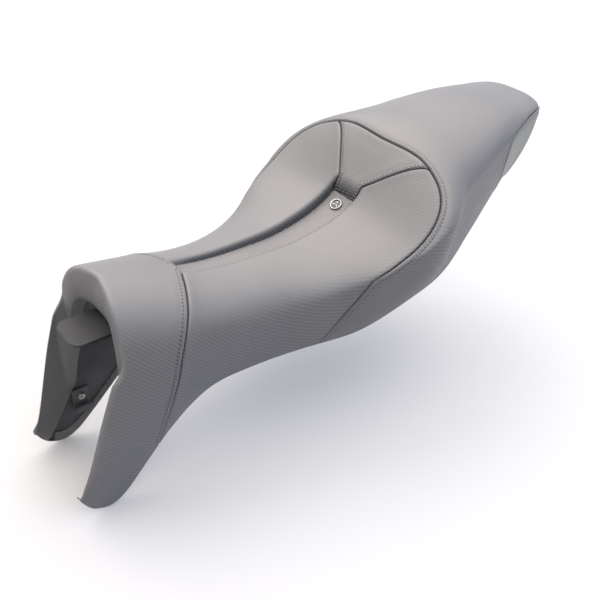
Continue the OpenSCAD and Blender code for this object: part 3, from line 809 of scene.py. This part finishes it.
def block(name, top, low):
    """A closed body between two grids of points."""
    rows, cols = top.shape[:2]
    n = rows * cols
    at = lambda i, j: i * cols + j
    faces = []
    for quad in grid_faces(rows, cols):
        faces += [quad, [q + n for q in reversed(quad)]]
    rim = [(at(0, j + 1), at(0, j)) for j in range(cols - 1)]
    for i in range(rows - 1):
        rim += [(at(i, 0), at(i + 1, 0)), (at(i + 1, cols - 1), at(i, cols - 1))]
    faces += [[a, b, b + n, a + n] for a, b in rim]
    return welded(name, np.concatenate([top.reshape(-1, 3), low.reshape(-1, 3)]), faces)


def foam_top(zone, place, k, v, y):
    """The foam's face: under the cover, deeper under the channel, and held back at the edges."""
    zone, place, k = zone[:, None], place[:, None], k[None, :]
    tail, a = zone == TAIL, np.abs(v)
    room = np.linalg.norm(skin(y, v) - pan(y, v), axis=-1)
    by_edge = 7 * np.clip(1 - (y - curve(FRONT_EDGE, a)) / 16, 0, 1) ** 2
    in_channel = (np.abs(k) < 1.7) & (zone == RIDER) & (place < Q_TOP + 0.12)
    by_wall = (np.abs(k) < 2) & (zone == RIDER) & (np.abs(place - Q_TOP) < 0.12)
    inset = mix(4.6, COVER_T, np.clip((a - 0.72) / 0.18, 0, 1)) + 4.0 * in_channel + 3.0 * by_wall
    inset = np.minimum(inset + np.where(tail, 0, by_edge), np.maximum(0.45 * room, COVER_T))
    p = np.where(tail[..., None], skin_tail(np.where(tail, place, 0), v, inset), skin(y, v, inset))
    p[..., 2] -= np.where(tail, 0, channel_drop(zone, place, k, p))
    return p


def make_block(materials):
    zone, place, k, v, pan_y, foam_y = block_grids()
    foam = block("foam_block", foam_top(zone, place, k, v, foam_y),
                 pan_face(zone, place, v, foam_y, 0.0))
    finish_piece(foam, materials["foam"], ["foam_core"])
    body = block("seat_pan", *(pan_face(zone, place, v, pan_y, d) for d in (0.0, PAN_T)))
    sharpen(body, 35)
    finish_piece(body, materials["pan"], ["base_pan"])
    finish_piece(make_ribs(), materials["pan"], ())


def plate(points, normal, thick):
    """A flat plate from its outline, as verts and faces."""
    points, off = np.asarray(points, float), np.asarray(normal, float) * thick / 2
    n = len(points)
    verts = np.concatenate([points - off, points + off])
    faces = [list(range(n))[::-1], [n + i for i in range(n)]]
    faces += [[i, (i + 1) % n, n + (i + 1) % n, n + i] for i in range(n)]
    return verts, faces


RIB_T, RIB_H = 2.4, 9
CROSS_RIBS = [(-400, 58), (-372, 62), (-345, 66), (-225, 88), (-195, 92), (-160, 94), (-128, 92),
              (-66, 82), (-48, 76), (66, 34), (92, 30)]
LONG_RIBS = [(0, -402, -322), (26, -402, -322), (52, -402, -322), (0, -278, -50), (34, -278, -50),
             (0, 24, 96), (24, 62, 96), (60, -236, -112), (84, -236, -112)]


def make_ribs(sink=0.6, points=25):
    """Stiffening ribs under the pan."""
    ribs = Part()
    for y, half in CROSS_RIBS:
        xs = np.linspace(-half, half, points)
        top = [(x, y, float(pan_under(x, y)) + sink) for x in xs]
        deep = RIB_H * (0.15 + 0.85 * (1 - (np.abs(xs) / half) ** 6))
        low = [(x, y, float(pan_under(x, y)) - h) for x, h in zip(xs, deep)]
        ribs.add(*plate(top + low[::-1], (0, 1, 0), RIB_T))
    for x0, start, end in LONG_RIBS:
        for x in ((x0, -x0) if x0 else (0,)):
            under = [(y, float(pan_under(x, y))) for y in np.linspace(start, end, points)]
            top = [(x, y, z + sink) for y, z in under]
            low = [(x, y, z - RIB_H + 1) for y, z in under]
            ribs.add(*plate(top + low[::-1], (1, 0, 0), RIB_T))
    return new_object("pan_ribs", ribs.verts, ribs.faces, smooth=False)


# ---------------------------------------------------------------- materials
class Nodes:
    """A short way to write a material's nodes."""

    def __init__(self, name):
        self.material = bpy.data.materials.new(name)
        self.material.use_nodes = True
        self.tree = self.material.node_tree
        self.shader = self.tree.nodes["Principled BSDF"]

    def add(self, kind, **inputs):
        node = self.tree.nodes.new(kind)
        for key, value in inputs.items():
            self.set(node, key.replace("_", " "), value)
        return node

    def set(self, node, key, value):
        socket = node.inputs[key]
        if isinstance(value, bpy.types.NodeSocket):
            self.tree.links.new(value, socket)
        else:
            socket.default_value = value

    def math(self, operation, *values):
        node = self.tree.nodes.new("ShaderNodeMath")
        node.operation = operation
        for i, value in enumerate(values):
            self.set(node, i, value)
        return node.outputs[0]

    def plus(self, a, b):
        return self.math("ADD", a, b)

    def minus(self, a, b):
        return self.math("SUBTRACT", a, b)

    def times(self, a, b):
        return self.math("MULTIPLY", a, b)

    def sine(self, value):
        """Half a sine wave for each whole number."""
        return self.math("SINE", self.times(value, math.pi))

    def mix(self, factor, a, b):
        """Mix of two colours."""
        node = self.tree.nodes.new("ShaderNodeMix")
        node.data_type = "RGBA"
        self.set(node, 0, factor)
        for i, value in ((6, a), (7, b)):
            self.set(node, i, value if isinstance(value, bpy.types.NodeSocket) else (*value, 1.0))
        return node.outputs[2]

    def place(self):
        return self.add("ShaderNodeTexCoord").outputs["Object"]

    def noise(self, scale, detail=4.0, rough=0.55, vector=None):
        node = self.add("ShaderNodeTexNoise", Scale=scale, Detail=detail, Roughness=rough,
                        Vector=self.place() if vector is None else vector)
        return node.outputs["Fac"]

    def between(self, value, low, high, to_low=0.0, to_high=1.0):
        node = self.add("ShaderNodeMapRange")
        for i, x in enumerate((value, low, high, to_low, to_high)):
            self.set(node, i, x)
        return node.outputs[0]

    def attribute(self, name):
        node = self.tree.nodes.new("ShaderNodeAttribute")
        node.attribute_name = name
        return self.add("ShaderNodeSeparateXYZ", Vector=node.outputs["Vector"]).outputs

    def bump(self, height, distance, strength=1.0, normal=None):
        node = self.add("ShaderNodeBump", Height=height, Distance=distance, Strength=strength)
        if normal is not None:
            self.set(node, "Normal", normal)
        return node.outputs["Normal"]

    def surface(self, colour, rough, normal, **constants):
        """Connects the shader, sets its constants on its own sockets and gives the material."""
        for key, value in (("Base Color", colour), ("Roughness", rough), ("Normal", normal)):
            self.set(self.shader, key, value)
        for key, value in constants.items():
            self.shader.inputs[key.replace("_", " ")].default_value = value
        return self.material


def twill(n):
    """(height, warp) of the embossed two-over-two twill: height 0 to 1, warp 1 on warp tows."""
    def tow(across, along):
        ends = n.math("POWER", n.math("MAXIMUM", n.sine(along), 0.0), 0.4)
        return n.times(n.math("POWER", n.sine(across), 0.55), ends)

    u, w, _ = n.attribute("weave")
    across_u, across_w = n.math("FRACT", u), n.math("FRACT", w)
    step = n.minus(n.math("FLOOR", u), n.math("FLOOR", w))
    step = n.math("FLOORED_MODULO", step, 4.0)
    warp = n.math("LESS_THAN", step, 1.5)
    along_warp = n.times(n.plus(n.minus(1.0, step), across_w), 0.5)
    along_weft = n.times(n.plus(n.minus(step, 2.0), across_u), 0.5)
    high_warp = tow(across_u, along_warp)
    high_weft = n.times(tow(across_w, along_weft), 0.72)
    return n.plus(n.times(high_warp, warp), n.times(high_weft, n.minus(1.0, warp))), warp


def stitch_marks(n, off, along):
    """(pucker, hole) beside a row of stitches: the vinyl drawn up, and painted shade in the needle's
    holes.
    """
    off = n.math("ABSOLUTE", off)
    wave = n.math("ABSOLUTE", n.sine(along))
    pucker = n.times(n.between(off, 0.0, 1.8, 1.0, 0.0), wave)
    beside = n.between(off, 0.6, 1.3, 1.0, 0.0)
    return pucker, n.times(beside, n.between(wave, 0.45, 0.85, 1.0, 0.0))


def embossed(n, colour, rough, grain):
    """The woven look: (colour, roughness, normal), with a painted sheen: the weave fades where the seat
    faces up, so the tops come out lighter.
    """
    height, warp = twill(n)
    facing = n.add("ShaderNodeNewGeometry").outputs["Normal"]
    facing = n.add("ShaderNodeSeparateXYZ", Vector=facing)
    # painted sheen: facing up, the weave's painted darkening drops to a quarter and the tops come out
    # lighter; its bump is weaker there too
    weave_left_by_sheen = n.between(facing.outputs["Z"], 0.35, 0.9, 1.0, 0.25)
    # painted shade in the twill's hollows, times the warp tows' own lighter tone
    tone = n.plus(n.times(warp, 0.12), 0.92)
    shade = n.times(n.between(height, 0.1, 0.9, 0.50, 1.0), tone)
    shade = n.minus(1.0, n.times(n.minus(1.0, shade), weave_left_by_sheen))
    normal = n.bump(grain, 0.00006, 0.6, n.bump(height, 0.0011, weave_left_by_sheen))
    return n.mix(shade, (0.012, 0.012, 0.012), colour), n.minus(rough, n.times(warp, 0.07)), normal


def pored(n, colour, rough, grain):
    """The smooth look: (colour, roughness, normal) with fine pores."""
    cells = n.add("ShaderNodeTexVoronoi", Scale=900.0, Vector=n.place())
    cells.feature = "DISTANCE_TO_EDGE"
    pores = n.between(cells.outputs["Distance"], 0.0, 0.12)
    normal = n.bump(grain, 0.00008, 0.6, n.bump(pores, 0.00012, 0.7))
    return n.mix(n.between(pores, 0.0, 1.0, 0.75, 1.0), (0.02, 0.02, 0.02), colour), rough, normal


def vinyl(name, dark, light, face):
    n = Nodes(name)
    grain = n.noise(1500.0, 6.0, 0.6)
    cloud = n.noise(9.0, 3.0, 0.5)
    # the stitch rows across the seat, and seam: distance to a groove, for the painted shade there
    off, along, seam = n.attribute("stitches_and_groove_shade")
    pucker, hole = stitch_marks(n, off, along)
    # the wedge seams' stitch rows, and deep: the painted shade in the channel's crease
    off, along, deep = n.attribute("wedge_stitches_and_crease_shade")
    more_pucker, more_hole = stitch_marks(n, off, along)
    pucker, hole = n.math("MAXIMUM", pucker, more_pucker), n.math("MAXIMUM", hole, more_hole)
    colour = n.mix(n.between(cloud, 0.3, 0.7), dark, light)
    rough = n.between(cloud, 0.3, 0.7, 0.40, 0.50)
    colour, rough, normal = face(n, colour, rough, grain)
    # painted shade: near black in each seam's groove
    colour = n.mix(n.between(seam, 0.3, 1.4, 0.1, 1.0), (0.004, 0.004, 0.004), colour)
    # painted shade: near black in the needle holes
    colour = n.mix(hole, colour, (0.003, 0.003, 0.003))
    # painted shade: near black in the channel's crease
    colour = n.mix(n.between(deep, 0.0, 0.6, 0.0, 0.95), colour, (0.012, 0.012, 0.012))
    return n.surface(colour, rough, n.bump(pucker, 0.0005, 0.8, normal), Specular_IOR_Level=0.75,
                     Sheen_Weight=0.06, Sheen_Roughness=0.4)


def plastic(name, colour, rough=0.5, grain=420.0, depth=0.00012):
    """Moulded plastic or rubber: fine spark-eroded grain, and paler where it has been rubbed."""
    n = Nodes(name)
    spots, cloud = n.noise(grain, 3.0, 0.6), n.noise(14.0, 4.0, 0.6)
    pale = tuple(min(1.0, c * 1.9 + 0.012) for c in colour)
    return n.surface(n.mix(n.between(cloud, 0.42, 0.75), colour, pale),
                     n.between(spots, 0.3, 0.7, rough - 0.08, rough + 0.1),
                     n.bump(spots, depth, 0.7))


def metal(name, colour, rough, scratch=1.0, metallic=1.0):
    """Plated or painted steel with fine wiping scratches and a cloudy finish."""
    n = Nodes(name)
    stretched = n.add("ShaderNodeMapping", Vector=n.place(), Scale=(1.0, 0.06, 1.0))
    lines = n.noise(900.0, 3.0, 0.7, stretched.outputs[0])
    cloud = n.noise(35.0, 5.0, 0.65)
    dull = tuple(c * 0.62 for c in colour)
    return n.surface(n.mix(n.between(cloud, 0.35, 0.7), dull, colour),
                     n.between(cloud, 0.3, 0.7, rough, rough + 0.16),
                     n.bump(lines, 0.00003 * scratch, 0.5), Metallic=metallic)


def foam_material():
    n = Nodes("moulded_foam")
    cells = n.add("ShaderNodeTexVoronoi", Scale=700.0, Vector=n.place())
    return n.surface(n.mix(n.noise(12.0), (0.62, 0.54, 0.33), (0.80, 0.74, 0.55)),
                     n.between(n.noise(60.0), 0.3, 0.7, 0.8, 0.95),
                     n.bump(cells.outputs["Distance"], 0.0004, 0.6))


def thread_material():
    n = Nodes("thread")
    twist = n.add("ShaderNodeTexWave", Scale=900.0, Distortion=0.5, Vector=n.place()).outputs["Fac"]
    return n.surface(n.mix(n.noise(80.0), (0.12, 0.12, 0.122), (0.19, 0.19, 0.195)),
                     n.between(twist, 0.0, 1.0, 0.5, 0.7), n.bump(twist, 0.0002, 0.6))


# ---------------------------------------------------------------- hardware
def lathe(name, profile, place, tilt=None, sides=64):
    """A turned part from [radius, height] points, closed on its axis."""
    turns = [2 * math.pi * q / sides for q in range(sides)]
    verts = np.array([(r * math.cos(t), r * math.sin(t), h) for t in turns for r, h in profile])
    n = len(profile)
    faces = []
    for q in range(sides):
        a, b = q * n, (q + 1) % sides * n
        faces += [[a + i, b + i, b + i + 1, a + i + 1] for i in range(n - 1)]
    if tilt is not None:
        verts = verts @ np.array(tilt.to_3x3()).T
    obj = welded(name, verts + np.asarray(place, float), faces)
    sharpen(obj, 40)
    return obj


def bend(points, radius, steps=4):
    """A profile's points with its corners rounded."""
    points = [np.asarray(q, float) for q in points]
    out = [points[0]]
    for a, b, c in zip(points, points[1:], points[2:]):
        r = min(radius, np.linalg.norm(b - a) / 2.2, np.linalg.norm(c - b) / 2.2)
        start, end = b + unit(a - b) * r, b + unit(c - b) * r
        out += [mix(mix(start, b, s), mix(b, end, s), s) for s in np.linspace(0, 1, steps + 1)]
    return out + [points[-1]]


def node_box(node):
    """Centre, lowest and highest corner of a CAD node, in mm."""
    low, high = (np.array(corner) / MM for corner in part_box(node))
    return (low + high) / 2, low, high


def make_bumpers(material, foot=16, stud=4.5, reach=5.9):
    """Each has a cupped face, a groove round its side, and a stud behind its foot."""
    for node in [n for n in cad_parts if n.startswith("bumper_")]:
        centre, low, high = node_box(node)
        r = (high[0] - low[0]) / 2
        profile = bend([(0, 0), (0.45 * r, 0), (0.52 * r, 1.4), (0.8 * r, 1.4), (0.86 * r, 0),
                        (r, 0.9), (r, 4), (r - 0.9, 5.2), (r - 0.9, 9), (r, 10.2),
                        (r, foot - 0.4), (r - 1.4, foot), (stud + 0.9, foot), (stud, foot + 0.8),
                        (stud, foot + 4.5), (3.4, foot + reach), (0, foot + reach)], 0.5)
        obj = lathe(node.replace("bumper", "rubber_bumper"), profile, (centre[0], centre[1], low[2]))
        finish_piece(obj, material, [node])


def make_badge(materials, arms=3):
    """The round badge set into the channel's floor, with a plain ring-and-spokes mark."""
    y = node_box("badge_rim")[0][1]
    share = lambda at: (at - float(curve(NOSE_SEAM, 0))) / RIDE_L / Q_END
    floor = lambda at: float(curve(CROWN, at)) - float(mix(*CHANNEL_DEPTH, share(at)))
    tilt = Matrix.Rotation(math.atan2(floor(y + 9) - floor(y - 9), 18), 4, "X")
    place = (0, y, floor(y) - 0.6)
    rim = bend([(6.3, 1.7), (6.3, 2.6), (7.0, 3.3), (8.0, 3.4), (8.8, 2.7), (9.0, 1.4),
                (8.9, 0), (0, 0)], 0.35)
    ring = lathe("badge_ring", [(0, 1.7)] + rim, place, tilt)
    finish_piece(ring, materials["chrome"], ["badge_rim"])
    face = bend([(0, 2.5), (2.0, 2.45), (5.7, 2.1), (6.25, 1.9), (6.25, 1.5), (0, 1.5)], 0.15)
    disc = lathe("badge_disc", face, place, tilt)
    finish_piece(disc, materials["enamel"], ["badge_face"])
    mark = Part()
    for arm in range(arms):
        turn = math.radians(90 + 360 / arms * arm)
        out = np.array([math.cos(turn), math.sin(turn), 0])
        across = np.array([-math.sin(turn), math.cos(turn), 0])
        outline = [out * r + across * w + (0, 0, 2.35) for r, w in
                   ((1.2, -0.3), (4.6, -0.6), (5.0, 0), (4.6, 0.6), (1.2, 0.3))]
        mark.add(*plate(outline, (0, 0, 1), 0.9))
    verts = np.asarray(mark.verts) @ np.array(tilt.to_3x3()).T + np.asarray(place)
    mark = new_object("badge_mark", verts, mark.faces, smooth=False)
    finish_piece(mark, materials["chrome"], ())


def make_staples(material, wire=0.45, crown=10.0, leg=4.0, lift=8.5, pitch=30):
    """Wire staples through the hem, each a crown with two legs."""
    staples = Part()
    for side in (1, -1):
        inward = np.array([side * leg, 0, 0])
        for y in range(-480, 101, pitch):
            ends = [np.array([side * (float(curve(HEM_X, at)) - HEM_IN - wire), at,
                              float(curve(HEM_Z, at)) + lift]) for at in (y, y + crown)]
            path = bend([ends[0] + inward, *ends, ends[1] + inward], 0.9, 3)
            rings = []
            for i, q in enumerate(path):
                ahead = unit(path[min(i + 1, len(path) - 1)] - path[max(i - 1, 0)])
                first = unit(np.cross(ahead, (0, 0, 1)))
                rings.append(circle(q, wire, first, np.cross(ahead, first)))
            verts, faces = tube(rings)
            staples.add(verts, [f[::-1] for f in faces])
    obj = new_object("hem_staples", staples.verts, staples.faces)
    finish_piece(obj, material, ["staples"])


def strap_band(y0, z0, pin_x, half, thick=3.0, hole=5.0, across=9):
    """A band with a round end, raised edges and a button hole: the two halves of both faces."""
    def half_at(x):
        return math.sqrt(max(half ** 2 - max(-pin_x - x, 0) ** 2, 0.04))

    def gap_at(x):
        return math.sqrt(max(hole ** 2 - (x + pin_x) ** 2, 0))

    stations = np.unique(np.concatenate([
        -pin_x + half * -np.cos(np.linspace(0, math.pi / 2, 9)),
        np.linspace(-pin_x + 1.2, pin_x - 5.0, 26),
        -pin_x + hole * np.cos(np.linspace(0, math.pi, 13))]))
    count = len(stations)
    verts, faces = [], []
    for face_z in (1, -1):
        for part in (1, -1):
            out = face_z == part
            faces += [f[::-1] if out else f for f in grid_faces(count, across, len(verts))]
            for x in stations:
                for w in np.linspace(gap_at(x), half_at(x), across):
                    edge = half_at(x) - w
                    lift = 0.55 * math.exp(-((edge - 1.6) / 0.9) ** 2) if face_z < 0 else 0.0
                    drop = 0.8 * max(0.0, 1 - edge / 0.8) ** 2
                    verts.append((x, y0 + part * w, z0 + face_z * (thick / 2 - drop + lift)))
    layer = count * across
    for part in range(2):
        def wall(first, second, out):
            """Joins an edge of the upper face to the one below it."""
            quad = [part * layer + first, part * layer + second,
                    (2 + part) * layer + second, (2 + part) * layer + first]
            faces.append(quad if out else quad[::-1])
        for i in range(count - 1):
            open_hole = gap_at((stations[i] + stations[i + 1]) / 2) > 0
            for j in (across - 1, 0)[:1 + open_hole]:
                wall(i * across + j, (i + 1) * across + j, (j > 0) == (part == 1))
        for i in (0, count - 1):
            for j in range(across - 1):
                wall(i * across + j, i * across + j + 1, (i > 0) == (part == 0))
    return welded("tool_strap_band", verts, faces)


def make_strap(material, pin_inset=6.5, outer=6.4, inner=3.1, soft=0.7):
    """The rubber tool strap: its band, and the eye that turns on the pin."""
    centre, low, high = node_box("tool_strap")
    pin_x = high[0] - pin_inset
    y0, z0, half = centre[1], centre[2], (high[1] - low[1]) / 2
    band = strap_band(y0, z0, pin_x, half)
    sharpen(band, 50)
    finish_piece(band, material, ["tool_strap"], "strap")
    ring = bend([(inner, 0.3 - half), (inner + 0.5, -half), (outer - soft, -half),
                 (outer, 0.8 - half), (outer, half - 0.8), (outer - soft, half),
                 (inner + 0.5, half), (inner, half - 0.3), (inner, 0.3 - half)], 0.3)
    turn = Matrix.Rotation(math.radians(-90), 4, "X")
    eye = lathe("tool_strap_eye", ring, (pin_x, y0, z0), turn, 48)
    finish_piece(eye, material, (), "strap")


# ---------------------------------------------------------------- light, floor and camera
def make_stage(size=14.0, cells=40, below=0.004):
    """A plain floor just below the seat."""
    floor_z = cad_box[0].z - below
    at = np.linspace(-size, size, cells + 1)
    floor = new_object("floor", [(x, y, floor_z) for y in at for x in at],
                       grid_faces(cells + 1, cells + 1), scale=1.0)
    paint = Nodes("studio_floor")
    tone = paint.mix(paint.noise(2.0), (0.42, 0.42, 0.42), (0.44, 0.44, 0.44))
    paint.set(paint.shader, "Base Color", tone)
    paint.set(paint.shader, "Roughness", 0.9)
    floor.data.materials.append(paint.material)


def direction(azimuth, elevation):
    """The way towards a place round the seat: azimuth 0 is in front of it, 90 on its left."""
    return Vector((math.sin(azimuth) * math.cos(elevation), -math.cos(azimuth) * math.cos(elevation),
                   math.sin(elevation)))


def area_light(name, azimuth, elevation, distance, size, power, colour, aim):
    back = direction(math.radians(azimuth), math.radians(elevation))
    data = bpy.data.lights.new(name, "AREA")
    data.shape, data.size, data.size_y = "RECTANGLE", size[0], size[1]
    data.energy, data.color = power, colour
    light = bpy.data.objects.new(name, data)
    light.location = aim + back * distance
    light.rotation_mode = "QUATERNION"
    light.rotation_quaternion = back.to_track_quat("Z", "Y")
    light.visible_camera = False
    bpy.context.scene.collection.objects.link(light)


# The studio's overhead light by the sine of its height: warm white above, dim and blue low down
SKY = [(0.0, (0.25, 0.28, 0.33)), (0.18, (0.58, 0.68, 0.86)), (0.36, (1.12, 1.22, 1.42)),
       (0.54, (1.98, 1.94, 1.95)), (0.74, (2.95, 2.78, 2.68)), (1.0, (3.10, 2.90, 2.77))]
SKY_LEAN = (-0.24, -0.08, 1.0)              # brighter on the object's right and in front
BACKDROP = (0.94, 0.94, 0.94)


def make_lights():
    low, high = cad_box
    aim = (low + high) / 2
    area_light("softbox", 262, 56, 2.6, (2.2, 1.6), 24, (1.0, 0.975, 0.95), aim)
    area_light("window_blue", 110, 28, 2.6, (2.4, 0.8), 30, (0.40, 0.60, 1.0), aim)
    world = bpy.data.worlds.new("studio")
    bpy.context.scene.world = world
    world.use_nodes = True
    tree = world.node_tree
    background = tree.nodes["Background"]
    seen = tree.nodes.new("ShaderNodeLightPath")
    height = tree.nodes.new("ShaderNodeVectorMath")
    height.operation = "DOT_PRODUCT"
    height.inputs[1].default_value = SKY_LEAN
    tree.links.new(tree.nodes.new("ShaderNodeTexCoord").outputs["Generated"], height.inputs[0])
    brightest = max(max(c) for _, c in SKY)
    ramp = tree.nodes.new("ShaderNodeValToRGB")
    ramp.color_ramp.interpolation = "EASE"
    while len(ramp.color_ramp.elements) < len(SKY):
        ramp.color_ramp.elements.new(0.5)
    for stop, (at, colour) in zip(ramp.color_ramp.elements, SKY):
        stop.position = at
        stop.color = (*(c / brightest for c in colour), 1.0)
    tree.links.new(height.outputs["Value"], ramp.inputs[0])
    gain = tree.nodes.new("ShaderNodeVectorMath")
    gain.operation = "SCALE"
    gain.inputs["Scale"].default_value = brightest
    tree.links.new(ramp.outputs["Color"], gain.inputs[0])
    tint = tree.nodes.new("ShaderNodeMix")
    tint.data_type = "RGBA"
    tree.links.new(seen.outputs["Is Camera Ray"], tint.inputs[0])
    tree.links.new(gain.outputs[0], tint.inputs[6])
    tint.inputs[7].default_value = (*BACKDROP, 1.0)
    tree.links.new(tint.outputs[2], background.inputs["Color"])
    bpy.context.scene.view_settings.view_transform = "Standard"


CAMERA = {"azimuth": 46.49, "elevation": 37.0, "roll": 6.13, "distance": 1.01595,
          "target": (0.0, -0.24515, -0.08076), "lens": 42.36}


def make_camera():
    azimuth, elevation, roll = (math.radians(CAMERA[key]) for key in ("azimuth", "elevation", "roll"))
    back = direction(azimuth, elevation)
    right = Vector((math.cos(azimuth), math.sin(azimuth), 0))
    up = back.cross(right)
    across = right * math.cos(roll) + up * math.sin(roll)
    above = up * math.cos(roll) - right * math.sin(roll)
    data = bpy.data.cameras.new("camera")
    data.lens, data.sensor_width = CAMERA["lens"], 36
    camera = bpy.data.objects.new("camera", data)
    turn = Matrix((across, above, back)).transposed().to_4x4()
    place = Vector(CAMERA["target"]) + back * CAMERA["distance"]
    camera.matrix_world = Matrix.Translation(place) @ turn
    bpy.context.scene.collection.objects.link(camera)
    bpy.context.scene.camera = camera


# ---------------------------------------------------------------- everything
make_camera()
materials = {
    "vinyl": vinyl("twill_vinyl", (0.103, 0.099, 0.098), (0.124, 0.119, 0.117), embossed),
    "plain_vinyl": vinyl("smooth_vinyl", (0.105, 0.107, 0.090), (0.125, 0.127, 0.108), pored),
    "foam": foam_material(),
    "pan": plastic("pan_plastic", (0.020, 0.020, 0.022), 0.46),
    "hook": plastic("hook_plastic", (0.028, 0.028, 0.031), 0.42),
    "rubber": plastic("rubber", (0.018, 0.018, 0.019), 0.72, 260.0, 0.00018),
    "chrome": metal("chrome", (0.40, 0.40, 0.41), 0.16),
    "enamel": plastic("badge_enamel", (0.03, 0.03, 0.032), 0.25, 900.0, 0.00002),
    "steel": metal("bright_steel", (0.56, 0.57, 0.59), 0.22),
    "zinc": metal("zinc_plate", (0.58, 0.58, 0.55), 0.34, 1.6),
    "painted": metal("black_paint", (0.014, 0.014, 0.016), 0.5, 2.0, 0.0),
    "thread": thread_material(),
}
trees, lines = make_cover(materials)
make_stitching(trees, lines, materials["thread"])
make_block(materials)
make_bumpers(materials["rubber"])
make_badge(materials)
make_staples(materials["steel"])
make_strap(materials["rubber"])

CARRIED = {"front_tongue": "painted", "tongue_screws": "zinc", "striker_plate": "zinc",
           "striker_loop": "steel", "striker_bolts": "zinc", "wing_hook_left": "hook",
           "wing_hook_right": "hook", "wing_hook_screws": "zinc", "strap_peg": "hook",
           "strap_hook": "hook"}
for node, finish in CARRIED.items():
    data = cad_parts[node].data
    data.materials.clear()
    data.materials.append(materials[finish])

make_stage()
make_lights()
